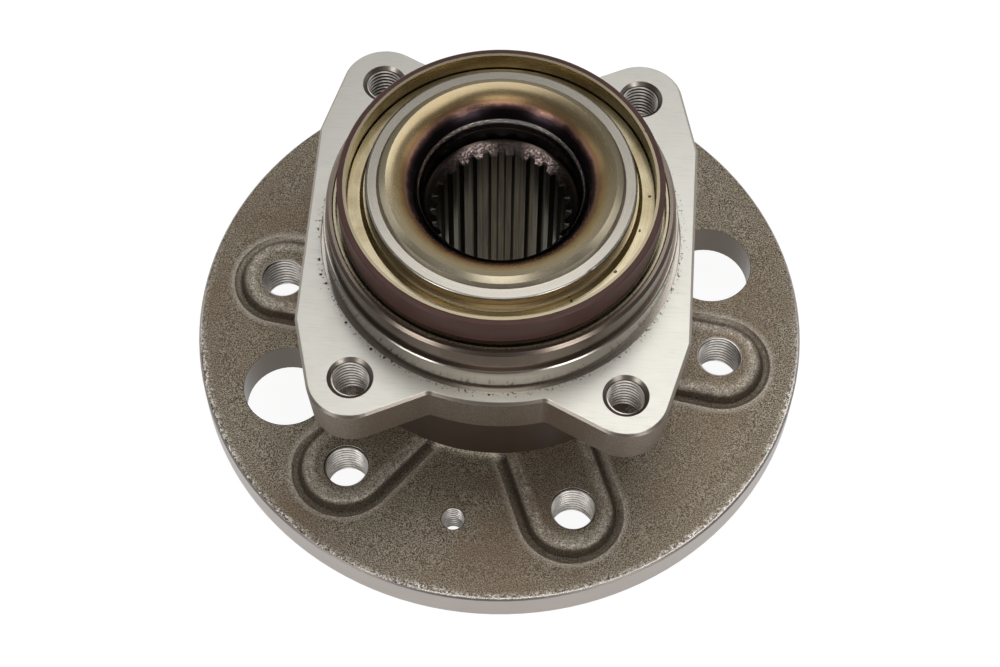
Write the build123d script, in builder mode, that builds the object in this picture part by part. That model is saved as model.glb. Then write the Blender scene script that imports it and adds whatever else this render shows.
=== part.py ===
from build123d import *

import os
from math import acos, atan2, cos, hypot, radians, sin, sqrt, tan

# Driven wheel hub unit: forged hub, four-eared outer ring, two rows of balls, seals and encoder.
# +Z runs along the spin axis toward the vehicle, the wheel-mounting face lies at z = 0,
# and X and Y follow the sides of the ear-hole rectangle. Lengths are in millimetres.

# Wheel side: bolt circle, disc and pilot
WHEEL_BOLT_COUNT = 6
WHEEL_BOLT_PCD = 130.0
WHEEL_BOLT_DRILL_R = 6.4
WHEEL_BOLT_EDGE = 0.45
WHEEL_BOLT_PHASE = -7.5
ACCESS_HOLE_R = 12.5
ACCESS_HOLE_LEAN = 1.3
SCREW_HOLE_R = 3.35
DISC_MARGIN = 23.0
DISC_T = 11.0
DISC_RISE = 1.5
ACCESS_HOLE_PHASE = WHEEL_BOLT_PHASE + 180 / WHEEL_BOLT_COUNT
BOLT_R = WHEEL_BOLT_PCD / 2
DISC_R = BOLT_R + DISC_MARGIN
RIM_EDGE_LOW = 1.2
RIM_EDGE_TOP = 0.5
PILOT_R = 42.0
PILOT_H = 10.0
PILOT_LEAD = 1.8
PILOT_RELIEF = 0.6
PILOT_RELIEF_H = 1.5
FACE_RELIEF_W = 1.2
FACE_RELIEF_T = 0.3
RECESS_R = 30.0
RECESS_TOP_Z = 8.0
RECESS_EDGE = 1.5
RECESS_DRAFT = 1.5

# Raised pads round the wheel-bolt holes, each with a shallow valley about it
PAD_H = 3.0
PAD_HALF_W = 13.2
PAD_TAPER = 20.0
PAD_EDGE = 1.8
PAD_SINK = 1.0
PAD_PHASE = WHEEL_BOLT_PHASE - 0.8
VALLEY_R = 2.4
VALLEY_DEPTH = 0.95
VALLEY_LIP_R = 6.0
VALLEY_LIP_DEPTH = 0.4
PAD_TOP_Z = DISC_T + PAD_H

# Drive-shaft spline
SPLINE_COUNT = 27
SPLINE_MINOR_R = 17.5
SPACE_DEPTH = 1.5
SPACE_MINOR_W = 2.5
SPACE_MAJOR_W = 1.5
SPLINE_ENTRY = 2.5
SPLINE_RUNOUT = 1.9
SPLINE_MAJOR_R = SPLINE_MINOR_R + SPACE_DEPTH
SPLINE_LOW_Z = RECESS_TOP_Z + SPLINE_ENTRY
BORE_R = SPLINE_MAJOR_R + SPLINE_RUNOUT
SPLINE_LEAD = BORE_R - SPLINE_MINOR_R

# Balls and raceways, built out from the shaft; shoulders are shares of the ball radius
SHAFT_WALL = 8.5
RING_WALL = 5.7
BALL_R = 6.35
BALL_COUNT = 15
RACE_CLEARANCE = 0.15
HIGH_SHOULDER_SHARE = 0.30
LOW_SHOULDER_SHARE = 0.755
LAND_SHARE = 0.50
OPEN_SHARE = 0.93
JOURNAL_R = SPLINE_MAJOR_R + SHAFT_WALL
LOW_SHOULDER_R = JOURNAL_R + RING_WALL
PITCH_R = LOW_SHOULDER_R + LOW_SHOULDER_SHARE * BALL_R
HIGH_SHOULDER_R = PITCH_R - HIGH_SHOULDER_SHARE * BALL_R
OUTER_LAND_R = PITCH_R + LAND_SHARE * BALL_R
OUTER_OPEN_R = PITCH_R + OPEN_SHARE * BALL_R
RACE_R = BALL_R + RACE_CLEARANCE
INNER_RACE_R = PITCH_R - RACE_R
OUTER_RACE_R = PITCH_R + RACE_R

# Cages
CAGE_WEB = 1.65
CAGE_BORE_GAP = 0.9
CAGE_RIM_GAP = 1.5
CAGE_LAND_GAP = 0.6
CAGE_SHAFT_GAP = 2.2
POCKET_CLEARANCE = 0.2
FRONT_SHARE = 0.60
KNEE_SHARE = 0.47
CAGE_FRONT = FRONT_SHARE * BALL_R
CAGE_KNEE = KNEE_SHARE * BALL_R
CAGE_BACK = BALL_R + CAGE_WEB

# Heights, stacked from the disc to the rolled nose
NECK_H = 12.0
BODY_GAP = 3.5
OUT_SEAT_DEPTH = 5.4
SEAL_GAP = 0.6
ROW_SPACING = 19.5
IN_SEAT_DEPTH = 7.3
SPIGOT_H = 15.9
SPIGOT_LEAD_H = 7.5
SLINGER_GAP = 0.4
CUP_H = 9.3
RING_FACE_RISE = 0.4
ABUT_OFFSET = 0.5
NECK_TOP_Z = DISC_T + NECK_H
BODY_LOW_Z = NECK_TOP_Z + BODY_GAP
OUT_SEAT_Z = BODY_LOW_Z + OUT_SEAT_DEPTH
ROW_OUT_Z = OUT_SEAT_Z + SEAL_GAP + CAGE_BACK
ROW_IN_Z = ROW_OUT_Z + ROW_SPACING
ROW_MID_Z = (ROW_OUT_Z + ROW_IN_Z) / 2
IN_SEAT_Z = ROW_IN_Z + CAGE_BACK + SEAL_GAP
SPIGOT_TOP_Z = IN_SEAT_Z + IN_SEAT_DEPTH
EAR_FACE_Z = SPIGOT_TOP_Z - SPIGOT_H
SPIGOT_STEP_Z = SPIGOT_TOP_Z - SPIGOT_LEAD_H
CUP_LOW_Z = SPIGOT_TOP_Z + SLINGER_GAP
CUP_TOP_Z = CUP_LOW_Z + CUP_H
RING_FACE_Z = CUP_TOP_Z + RING_FACE_RISE
ABUT_Z = ROW_MID_Z - ABUT_OFFSET

# Hub neck
NECK_INSET = 2.4
NECK_EDGE = 0.4
NECK_FOOT_FILLET = 4.0
SHOULDER_FILLET = 4.5
PAD_ROOT_INSET = 4.5
VALLEY_ROOT_STEP = 1.5

# Inner ring edges
RING_EDGE = 0.7
RING_BORE_EDGE = 3.0
RING_LOW_EDGE = 0.5

# Rolled nose and bore mouth
COLLAR_INSET = 3.0
COLLAR_LIP = 0.8
COLLAR_RISE = 1.3
CROWN_INSET = 2.5
CROWN_RISE = 2.2
MOUTH_BEVEL = 1.3
MOUTH_DEPTH = 3.6
MOUTH_BEVEL_H = 2.4
FUNNEL_RISE = 0.5
FUNNEL_INSET = 0.2
SPLINE_DROP = 14.3
COLLAR_R = HIGH_SHOULDER_R - COLLAR_INSET
CROWN_R = COLLAR_R - CROWN_INSET
MOUTH_R = BORE_R + MOUTH_BEVEL
FUNNEL_MID_R = 0.5 * (CROWN_R + MOUTH_R) - FUNNEL_INSET
MOUTH_Z = RING_FACE_Z - MOUTH_DEPTH
SPLINE_TOP_Z = RING_FACE_Z - SPLINE_DROP

# Outer ring: seal seats, spigot and body, built out from the raceways
IN_SEAT_STEP = 1.1
OUT_SEAT_STEP = 1.0
SPIGOT_WALL = 2.0
SPIGOT_STEP = 1.2
SPIGOT_EDGE = 0.8
STEP_EDGE = 0.3
UNDERCUT_W = 1.1
UNDERCUT_T = 1.0
BODY_STEP = 2.8
BODY_EDGE = 0.9
LAND_RELIEF_T = 1.0
LAND_RELIEF_HALF = 2.0
SEAT_EDGE = 0.35
IN_SEAT_R = OUTER_OPEN_R + IN_SEAT_STEP
OUT_SEAT_R = OUTER_OPEN_R + OUT_SEAT_STEP
SPIGOT_LEAD_R = IN_SEAT_R + SPIGOT_WALL
SPIGOT_R = SPIGOT_LEAD_R + SPIGOT_STEP
UNDERCUT_R = SPIGOT_R + UNDERCUT_W
BODY_R = SPIGOT_R + BODY_STEP
LAND_RELIEF_R = OUTER_LAND_R + LAND_RELIEF_T
NECK_R = OUT_SEAT_R - NECK_INSET
PAD_ROOT_R = NECK_R - PAD_ROOT_INSET
VALLEY_ROOT_R = NECK_R + VALLEY_ROOT_STEP

# Ears: hole circle and outline, built out from the body
EAR_T = 14.4
EAR_REACH = 9.06
EAR_ANGLE = 52.58
EAR_R = 12.0
EAR_DRILL_R = 5.25
EAR_HOLE_EDGE = 0.95
EAR_SIDE_STEP = 2.3
EAR_SIDE_DROP = 16.7
EAR_FRONT_DROP = 21.1
EAR_WAIST_STEP = 2.0
EAR_DRAFT = 4.0
EAR_EDGE = 0.8
EAR_SIDE_FILLET = 4.0
EAR_WAIST_FILLET = 2.0
EAR_X = (BODY_R + EAR_REACH) * cos(radians(EAR_ANGLE))
EAR_Y = (BODY_R + EAR_REACH) * sin(radians(EAR_ANGLE))
EAR_SIDE_X = BODY_R + EAR_SIDE_STEP
EAR_SIDE_Y = EAR_Y - EAR_SIDE_DROP
EAR_FRONT_X = EAR_X - EAR_FRONT_DROP
EAR_WAIST_R = BODY_R + EAR_WAIST_STEP

# Sheet parts on the inner ring, and the encoder
SHEET_T = 0.7
SLINGER_INSET = 1.25
SLINGER_STEM_H = 6.1
CUP_INSET = 1.75
CUP_WALL_T = 0.8
CUP_STEM_H = 2.7
COVER_RISE = 2.9
COVER_GAP = 0.35
COVER_STEM_W = 0.9
COVER_STEM_H = 2.8
COVER_HEM = 0.35
ENCODER_T = 1.55
ENCODER_DROP = 0.2
ENCODER_FOOT = 0.4
ENCODER_EDGE = 0.25
ENCODER_FOOT_EDGE = 0.6
SLINGER_R = IN_SEAT_R - SLINGER_INSET
CUP_R = SLINGER_R - CUP_INSET
CUP_WALL_R = CUP_R - CUP_WALL_T
STEM_R = HIGH_SHOULDER_R + SHEET_T
COVER_R = CUP_WALL_R - COVER_GAP
COVER_STEM_R = HIGH_SHOULDER_R + COVER_STEM_W
COVER_LOW_Z = CUP_LOW_Z + COVER_RISE
COVER_TOP_Z = COVER_LOW_Z + COVER_STEM_H
ENCODER_R = CUP_R + ENCODER_T
ENCODER_LOW_Z = CUP_LOW_Z + ENCODER_FOOT
ENCODER_TOP_Z = CUP_TOP_Z - ENCODER_DROP

# Seals: sheet cases pressed into the outer ring, with bonded lips
CASE_T = 0.6
CASE_RECESS = 0.3
IN_CASE_LIFT = 0.6
OUT_CASE_LIFT = 0.7
IN_CASE_REACH = 3.5
OUT_CASE_REACH = 3.3
LIP_CLEARANCE = 0.05
LIP_GRIP = 1.0
LIP_SKIN = 0.35
LIP_TIP_W = 0.35
LIP_ROOT_W = 1.0
IN_LIP_INSET = 2.8
IN_LIP_LEAN = 0.8
IN_LIP_RISE = 2.8
OUT_LIP_INSET = 1.7
OUT_LIP_LEAN = -1.6
OUT_LIP_RISE = 1.5
IN_CASE_Z = IN_SEAT_Z + IN_CASE_LIFT
IN_CASE_TOP_Z = SPIGOT_TOP_Z - CASE_RECESS
OUT_CASE_LOW_Z = BODY_LOW_Z + OUT_CASE_LIFT
OUT_CASE_TOP_Z = OUT_SEAT_Z - CASE_RECESS
IN_CASE_HOLE_R = HIGH_SHOULDER_R + IN_CASE_REACH
OUT_CASE_HOLE_R = HIGH_SHOULDER_R + OUT_CASE_REACH
IN_AXIAL_ROOT_R = IN_SEAT_R - IN_LIP_INSET
IN_AXIAL_TIP_R = IN_AXIAL_ROOT_R + IN_LIP_LEAN
IN_AXIAL_TIP_Z = CUP_LOW_Z - SHEET_T - LIP_CLEARANCE
IN_RADIAL_TIP_R = STEM_R + LIP_CLEARANCE
IN_RADIAL_TIP_Z = IN_CASE_Z + IN_LIP_RISE
OUT_AXIAL_ROOT_R = OUT_SEAT_R - OUT_LIP_INSET
OUT_AXIAL_TIP_R = OUT_AXIAL_ROOT_R + OUT_LIP_LEAN
OUT_AXIAL_TIP_Z = NECK_TOP_Z + LIP_CLEARANCE
OUT_RADIAL_TIP_R = HIGH_SHOULDER_R + LIP_CLEARANCE
OUT_RADIAL_TIP_Z = NECK_TOP_Z + SHOULDER_FILLET + OUT_LIP_RISE

os.makedirs("parts", exist_ok=True)


def race_rise(radius):
    """Axial distance from a ball row to the place where its race meets the given radius."""
    return sqrt(RACE_R**2 - (radius - PITCH_R) ** 2)


high_rise = race_rise(HIGH_SHOULDER_R)
low_rise = race_rise(LOW_SHOULDER_R)
land_rise = race_rise(OUTER_LAND_R)
open_rise = race_rise(OUTER_OPEN_R)
waist_y = sqrt(EAR_WAIST_R**2 - EAR_FRONT_X**2)

disc_draft = atan2(DISC_RISE, DISC_R - RIM_EDGE_TOP - NECK_R - NECK_FOOT_FILLET)
pad_surface_z = DISC_T + (DISC_R - BOLT_R) * tan(disc_draft)
pad_planes = []
for index in range(WHEEL_BOLT_COUNT):
    pad_turn = radians(PAD_PHASE + 360 / WHEEL_BOLT_COUNT * index)
    pad_planes.append(
        Plane(
            origin=(BOLT_R * cos(pad_turn), BOLT_R * sin(pad_turn), pad_surface_z),
            x_dir=(cos(pad_turn), sin(pad_turn), -tan(disc_draft)),
            z_dir=(tan(disc_draft) * cos(pad_turn), tan(disc_draft) * sin(pad_turn), 1),
        )
    )

# Hub: turned and forged body
with BuildPart() as hub:
    with BuildSketch(Plane.XZ):
        with BuildLine():
            Polyline(
                (SPLINE_MINOR_R, SPLINE_LOW_Z + SPLINE_ENTRY),
                (SPLINE_MINOR_R + SPLINE_ENTRY, SPLINE_LOW_Z),
                (SPLINE_MINOR_R + SPLINE_ENTRY, RECESS_TOP_Z),
                (RECESS_R - RECESS_DRAFT, RECESS_TOP_Z),
                (RECESS_R, -PILOT_H + RECESS_EDGE),
                (RECESS_R + RECESS_EDGE, -PILOT_H),
                (PILOT_R - PILOT_LEAD / 2, -PILOT_H),
                (PILOT_R, -PILOT_H + PILOT_LEAD),
                (PILOT_R, -PILOT_RELIEF_H),
                (PILOT_R - PILOT_RELIEF, -PILOT_RELIEF_H),
                (PILOT_R - PILOT_RELIEF, FACE_RELIEF_T),
                (PILOT_R + FACE_RELIEF_W, FACE_RELIEF_T),
                (PILOT_R + FACE_RELIEF_W, 0),
                (DISC_R - RIM_EDGE_LOW, 0),
                (DISC_R, RIM_EDGE_LOW),
                (DISC_R, DISC_T - RIM_EDGE_TOP),
                (DISC_R - RIM_EDGE_TOP, DISC_T),
                (NECK_R + NECK_FOOT_FILLET, DISC_T + DISC_RISE),
            )
            RadiusArc(
                (NECK_R + NECK_FOOT_FILLET, DISC_T + DISC_RISE),
                (NECK_R, DISC_T + DISC_RISE + NECK_FOOT_FILLET),
                NECK_FOOT_FILLET,
            )
            Polyline(
                (NECK_R, DISC_T + DISC_RISE + NECK_FOOT_FILLET),
                (NECK_R, NECK_TOP_Z - NECK_EDGE),
                (NECK_R - NECK_EDGE, NECK_TOP_Z),
                (HIGH_SHOULDER_R + SHOULDER_FILLET, NECK_TOP_Z),
            )
            RadiusArc(
                (HIGH_SHOULDER_R + SHOULDER_FILLET, NECK_TOP_Z),
                (HIGH_SHOULDER_R, NECK_TOP_Z + SHOULDER_FILLET),
                SHOULDER_FILLET,
            )
            Line(
                (HIGH_SHOULDER_R, NECK_TOP_Z + SHOULDER_FILLET),
                (HIGH_SHOULDER_R, ROW_OUT_Z - high_rise),
            )
            ThreePointArc(
                (HIGH_SHOULDER_R, ROW_OUT_Z - high_rise),
                (INNER_RACE_R, ROW_OUT_Z),
                (LOW_SHOULDER_R, ROW_OUT_Z + low_rise),
            )
            Polyline(
                (LOW_SHOULDER_R, ROW_OUT_Z + low_rise),
                (LOW_SHOULDER_R, ABUT_Z),
                (JOURNAL_R, ABUT_Z),
                (JOURNAL_R, RING_FACE_Z - RING_BORE_EDGE),
                (JOURNAL_R + RING_BORE_EDGE, RING_FACE_Z),
                (COLLAR_R, RING_FACE_Z),
                (COLLAR_R - COLLAR_LIP, RING_FACE_Z + COLLAR_RISE),
                (CROWN_R, RING_FACE_Z + CROWN_RISE),
            )
            ThreePointArc(
                (CROWN_R, RING_FACE_Z + CROWN_RISE),
                (FUNNEL_MID_R, RING_FACE_Z + FUNNEL_RISE),
                (MOUTH_R, MOUTH_Z),
            )
            Polyline(
                (MOUTH_R, MOUTH_Z),
                (BORE_R, MOUTH_Z - MOUTH_BEVEL_H),
                (BORE_R, SPLINE_TOP_Z + SPLINE_LEAD),
                (SPLINE_MINOR_R, SPLINE_TOP_Z),
                (SPLINE_MINOR_R, SPLINE_LOW_Z + SPLINE_ENTRY),
            )
        make_face()
    revolve(axis=Axis.Z)

    # Shallow valley along each pad's outline: a round bottom, then a wider lip at less depth
    valley_x = VALLEY_ROOT_R - BOLT_R
    for pad_plane in pad_planes:
        for valley_r, valley_depth in ((VALLEY_R, VALLEY_DEPTH), (VALLEY_LIP_R, VALLEY_LIP_DEPTH)):
            valley_plane = pad_plane.offset(valley_r - valley_depth)
            with BuildLine(valley_plane):
                Line((valley_x, -PAD_HALF_W), (0, -PAD_HALF_W))
                ThreePointArc((0, -PAD_HALF_W), (PAD_HALF_W, 0), (0, PAD_HALF_W))
                Line((0, PAD_HALF_W), (valley_x, PAD_HALF_W))
            valley_start = valley_plane.from_local_coords((valley_x, -PAD_HALF_W, 0))
            with BuildSketch(Plane(origin=valley_start, x_dir=valley_plane.y_dir, z_dir=valley_plane.x_dir)):
                Circle(valley_r)
            sweep(mode=Mode.SUBTRACT)

    # The pads, flat on top, standing in their valleys
    with BuildSketch(Plane.XY.offset(DISC_T - PAD_SINK)):
        with PolarLocations(BOLT_R, WHEEL_BOLT_COUNT, start_angle=PAD_PHASE):
            Circle(PAD_HALF_W)
            Rectangle(BOLT_R - PAD_ROOT_R, 2 * PAD_HALF_W, align=(Align.MAX, Align.CENTER))
    extrude(amount=PAD_H + PAD_SINK, taper=PAD_TAPER)
    top_edges = hub.edges().filter_by_position(Axis.Z, PAD_TOP_Z, PAD_TOP_Z)
    pad_edges = top_edges.filter_by(lambda edge: hypot(edge.center().X, edge.center().Y) > NECK_R + PAD_EDGE)
    fillet(pad_edges, PAD_EDGE)

    # Wheel-bolt holes, edges broken on the wheel side
    with BuildSketch(Plane.XY):
        with PolarLocations(BOLT_R, WHEEL_BOLT_COUNT, start_angle=WHEEL_BOLT_PHASE):
            Circle(WHEEL_BOLT_DRILL_R)
    extrude(amount=PAD_TOP_Z, mode=Mode.SUBTRACT)
    with BuildSketch(Plane.XY):
        with PolarLocations(BOLT_R, WHEEL_BOLT_COUNT, start_angle=WHEEL_BOLT_PHASE):
            Circle(WHEEL_BOLT_DRILL_R + WHEEL_BOLT_EDGE)
    extrude(amount=WHEEL_BOLT_EDGE, taper=45, mode=Mode.SUBTRACT)

    # Two large access holes and the brake-disc screw hole between the pads
    with BuildSketch(Plane.XY):
        with PolarLocations(BOLT_R, 1, start_angle=ACCESS_HOLE_PHASE - ACCESS_HOLE_LEAN):
            Circle(ACCESS_HOLE_R)
        with PolarLocations(BOLT_R, 1, start_angle=ACCESS_HOLE_PHASE + 180 + ACCESS_HOLE_LEAN):
            Circle(ACCESS_HOLE_R)
        with PolarLocations(BOLT_R, 1, start_angle=WHEEL_BOLT_PHASE - 90):
            Circle(SCREW_HOLE_R)
    extrude(amount=PAD_TOP_Z, mode=Mode.SUBTRACT)

    # Drive-shaft spline
    with BuildSketch(Plane.XY.offset(RECESS_TOP_Z)):
        with PolarLocations(0, SPLINE_COUNT):
            Polygon(
                (SPLINE_MINOR_R - SPACE_MAJOR_W, -SPACE_MINOR_W / 2),
                (SPLINE_MINOR_R, -SPACE_MINOR_W / 2),
                (SPLINE_MAJOR_R, -SPACE_MAJOR_W / 2),
                (SPLINE_MAJOR_R, SPACE_MAJOR_W / 2),
                (SPLINE_MINOR_R, SPACE_MINOR_W / 2),
                (SPLINE_MINOR_R - SPACE_MAJOR_W, SPACE_MINOR_W / 2),
                align=None,
            )
    extrude(amount=SPLINE_TOP_Z + SPLINE_LEAD - RECESS_TOP_Z, mode=Mode.SUBTRACT)
hub.part.label = "hub"
export_step(hub.part, "parts/hub.step")

# Inner ring of the inboard row
with BuildPart() as inner_ring:
    with BuildSketch(Plane.XZ):
        with BuildLine():
            Polyline(
                (LOW_SHOULDER_R, ROW_IN_Z - low_rise),
                (LOW_SHOULDER_R, ABUT_Z + RING_LOW_EDGE),
                (LOW_SHOULDER_R - RING_LOW_EDGE, ABUT_Z),
                (JOURNAL_R + RING_LOW_EDGE, ABUT_Z),
                (JOURNAL_R, ABUT_Z + RING_LOW_EDGE),
                (JOURNAL_R, RING_FACE_Z - RING_BORE_EDGE),
                (JOURNAL_R + RING_BORE_EDGE, RING_FACE_Z),
                (HIGH_SHOULDER_R - RING_EDGE, RING_FACE_Z),
            )
            RadiusArc(
                (HIGH_SHOULDER_R - RING_EDGE, RING_FACE_Z),
                (HIGH_SHOULDER_R, RING_FACE_Z - RING_EDGE),
                RING_EDGE,
            )
            Line(
                (HIGH_SHOULDER_R, RING_FACE_Z - RING_EDGE),
                (HIGH_SHOULDER_R, ROW_IN_Z + high_rise),
            )
            ThreePointArc(
                (HIGH_SHOULDER_R, ROW_IN_Z + high_rise),
                (INNER_RACE_R, ROW_IN_Z),
                (LOW_SHOULDER_R, ROW_IN_Z - low_rise),
            )
        make_face()
    revolve(axis=Axis.Z)
inner_ring.part.label = "inner_ring"
export_step(inner_ring.part, "parts/inner_ring.step")


def ear_tangent(x, y, side):
    """Point where the line from a flange corner touches the round end of the ear."""
    distance = hypot(x - EAR_X, y - EAR_Y)
    turn = atan2(y - EAR_Y, x - EAR_X) + side * acos(EAR_R / distance)
    return (EAR_X + EAR_R * cos(turn), EAR_Y + EAR_R * sin(turn))


side_touch = ear_tangent(EAR_SIDE_X, EAR_SIDE_Y, 1)
waist_touch = ear_tangent(EAR_FRONT_X, waist_y, -1)
ear_turn = atan2(EAR_Y, EAR_X)
ear_tip = (EAR_X + EAR_R * cos(ear_turn), EAR_Y + EAR_R * sin(ear_turn))

# Outer ring: drafted ear flange first, then the turned body and spigot
with BuildPart() as outer_ring:
    with BuildSketch(Plane.XY.offset(EAR_FACE_Z)) as ears:
        with BuildLine():
            Polyline((0, 0), (EAR_SIDE_X, 0), (EAR_SIDE_X, EAR_SIDE_Y), side_touch)
            ThreePointArc(side_touch, ear_tip, waist_touch)
            Line(waist_touch, (EAR_FRONT_X, waist_y))
            RadiusArc((EAR_FRONT_X, waist_y), (0, EAR_WAIST_R), -EAR_WAIST_R)
            Line((0, EAR_WAIST_R), (0, 0))
        make_face()
        mirror(about=Plane.XZ)
        mirror(about=Plane.YZ)
        side_corners = ears.vertices().filter_by(lambda v: abs(abs(v.X) - EAR_SIDE_X) < 0.01)
        fillet(side_corners, EAR_SIDE_FILLET)
        waist_corners = ears.vertices().filter_by(lambda v: abs(abs(v.X) - EAR_FRONT_X) < 0.01)
        fillet(waist_corners, EAR_WAIST_FILLET)
    extrude(amount=-EAR_T, taper=EAR_DRAFT)
    chamfer(outer_ring.edges().group_by(Axis.Z)[-1], EAR_EDGE)
    with BuildSketch(Plane.XY.offset(EAR_FACE_Z)):
        Circle(BODY_R - BODY_EDGE)
    extrude(amount=-EAR_T, mode=Mode.SUBTRACT)
    with BuildSketch(Plane.XZ):
        with BuildLine():
            Polyline(
                (OUTER_OPEN_R, ROW_OUT_Z - open_rise),
                (OUTER_OPEN_R, OUT_SEAT_Z),
                (OUT_SEAT_R, OUT_SEAT_Z),
                (OUT_SEAT_R, BODY_LOW_Z + SEAT_EDGE),
                (OUT_SEAT_R + SEAT_EDGE, BODY_LOW_Z),
                (BODY_R - BODY_EDGE, BODY_LOW_Z),
                (BODY_R, BODY_LOW_Z + BODY_EDGE),
                (BODY_R, EAR_FACE_Z),
                (UNDERCUT_R, EAR_FACE_Z),
                (UNDERCUT_R, EAR_FACE_Z - UNDERCUT_T),
                (SPIGOT_R, EAR_FACE_Z - UNDERCUT_T),
                (SPIGOT_R, SPIGOT_STEP_Z - STEP_EDGE),
                (SPIGOT_R - STEP_EDGE, SPIGOT_STEP_Z),
                (SPIGOT_LEAD_R, SPIGOT_STEP_Z),
                (SPIGOT_LEAD_R, SPIGOT_TOP_Z - SPIGOT_EDGE),
                (SPIGOT_LEAD_R - SPIGOT_EDGE, SPIGOT_TOP_Z),
                (IN_SEAT_R + SEAT_EDGE, SPIGOT_TOP_Z),
                (IN_SEAT_R, SPIGOT_TOP_Z - SEAT_EDGE),
                (IN_SEAT_R, IN_SEAT_Z),
                (OUTER_OPEN_R, IN_SEAT_Z),
                (OUTER_OPEN_R, ROW_IN_Z + open_rise),
            )
            ThreePointArc(
                (OUTER_OPEN_R, ROW_IN_Z + open_rise),
                (OUTER_RACE_R, ROW_IN_Z),
                (OUTER_LAND_R, ROW_IN_Z - land_rise),
            )
            Polyline(
                (OUTER_LAND_R, ROW_IN_Z - land_rise),
                (OUTER_LAND_R, ROW_MID_Z + LAND_RELIEF_HALF),
                (LAND_RELIEF_R, ROW_MID_Z + LAND_RELIEF_HALF / 2),
                (LAND_RELIEF_R, ROW_MID_Z - LAND_RELIEF_HALF / 2),
                (OUTER_LAND_R, ROW_MID_Z - LAND_RELIEF_HALF),
                (OUTER_LAND_R, ROW_OUT_Z + land_rise),
            )
            ThreePointArc(
                (OUTER_LAND_R, ROW_OUT_Z + land_rise),
                (OUTER_RACE_R, ROW_OUT_Z),
                (OUTER_OPEN_R, ROW_OUT_Z - open_rise),
            )
        make_face()
    revolve(axis=Axis.Z)

    # Threaded ear holes for the knuckle bolts, entered from the knuckle face
    with BuildSketch(Plane.XY.offset(EAR_FACE_Z)):
        with GridLocations(2 * EAR_X, 2 * EAR_Y, 2, 2):
            Circle(EAR_DRILL_R)
    extrude(amount=-EAR_T, mode=Mode.SUBTRACT)
    rims = outer_ring.edges().filter_by(GeomType.CIRCLE)
    ear_rims = rims.filter_by(lambda edge: abs(edge.radius - EAR_DRILL_R) < 0.01)
    chamfer(ear_rims, EAR_HOLE_EDGE)
outer_ring.part.label = "outer_ring"
export_step(outer_ring.part, "parts/outer_ring.step")

# Crown cages, each closed on the side away from the middle of the bearing
for cage_name, row_z, outward in (("cage_outboard", ROW_OUT_Z, -1), ("cage_inboard", ROW_IN_Z, 1)):
    with BuildPart() as cage:
        with BuildSketch(Plane.XZ):
            with BuildLine():
                Polyline(
                    (HIGH_SHOULDER_R + CAGE_BORE_GAP, row_z + outward * CAGE_BACK),
                    (OUTER_OPEN_R - CAGE_RIM_GAP, row_z + outward * CAGE_BACK),
                    (OUTER_OPEN_R - CAGE_RIM_GAP, row_z),
                    (OUTER_LAND_R - CAGE_LAND_GAP, row_z - outward * CAGE_FRONT),
                    (LOW_SHOULDER_R + CAGE_SHAFT_GAP, row_z - outward * CAGE_FRONT),
                    (LOW_SHOULDER_R + CAGE_SHAFT_GAP, row_z),
                    (HIGH_SHOULDER_R + CAGE_BORE_GAP, row_z + outward * CAGE_KNEE),
                    close=True,
                )
            make_face()
        revolve(axis=Axis.Z)
        with Locations((0, 0, row_z)):
            with PolarLocations(PITCH_R, BALL_COUNT):
                Sphere(BALL_R + POCKET_CLEARANCE, mode=Mode.SUBTRACT)
    cage.part.label = cage_name
    export_step(cage.part, f"parts/{cage_name}.step")

# Balls, one node each
for row_name, row_z in (("outboard", ROW_OUT_Z), ("inboard", ROW_IN_Z)):
    for index in range(BALL_COUNT):
        ball_turn = radians(360 / BALL_COUNT * index)
        with BuildPart() as ball:
            with Locations((PITCH_R * cos(ball_turn), PITCH_R * sin(ball_turn), row_z)):
                Sphere(BALL_R)
        ball.part.label = f"ball_{row_name}_{index + 1:02d}"
        export_step(ball.part, f"parts/ball_{row_name}_{index + 1:02d}.step")

# Slinger pressed on the inner ring: stem and flange
with BuildPart() as inboard_slinger:
    with BuildSketch(Plane.XZ):
        with BuildLine():
            Polyline(
                (HIGH_SHOULDER_R, CUP_LOW_Z - SLINGER_STEM_H),
                (STEM_R, CUP_LOW_Z - SLINGER_STEM_H),
                (STEM_R, CUP_LOW_Z - SHEET_T),
                (SLINGER_R, CUP_LOW_Z - SHEET_T),
                (SLINGER_R, CUP_LOW_Z),
                (HIGH_SHOULDER_R, CUP_LOW_Z),
                close=True,
            )
        make_face()
    revolve(axis=Axis.Z)
inboard_slinger.part.label = "inboard_slinger"
export_step(inboard_slinger.part, "parts/inboard_slinger.step")

# Encoder cup: stem, floor and tall outer wall
with BuildPart() as encoder_carrier:
    with BuildSketch(Plane.XZ):
        with BuildLine():
            Polyline(
                (HIGH_SHOULDER_R, CUP_LOW_Z),
                (CUP_R, CUP_LOW_Z),
                (CUP_R, CUP_TOP_Z),
                (CUP_WALL_R, CUP_TOP_Z),
                (CUP_WALL_R, CUP_LOW_Z + SHEET_T),
                (STEM_R, CUP_LOW_Z + SHEET_T),
                (STEM_R, CUP_LOW_Z + CUP_STEM_H),
                (HIGH_SHOULDER_R, CUP_LOW_Z + CUP_STEM_H),
                close=True,
            )
        make_face()
    revolve(axis=Axis.Z)
encoder_carrier.part.label = "encoder_carrier"
export_step(encoder_carrier.part, "parts/encoder_carrier.step")

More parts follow.
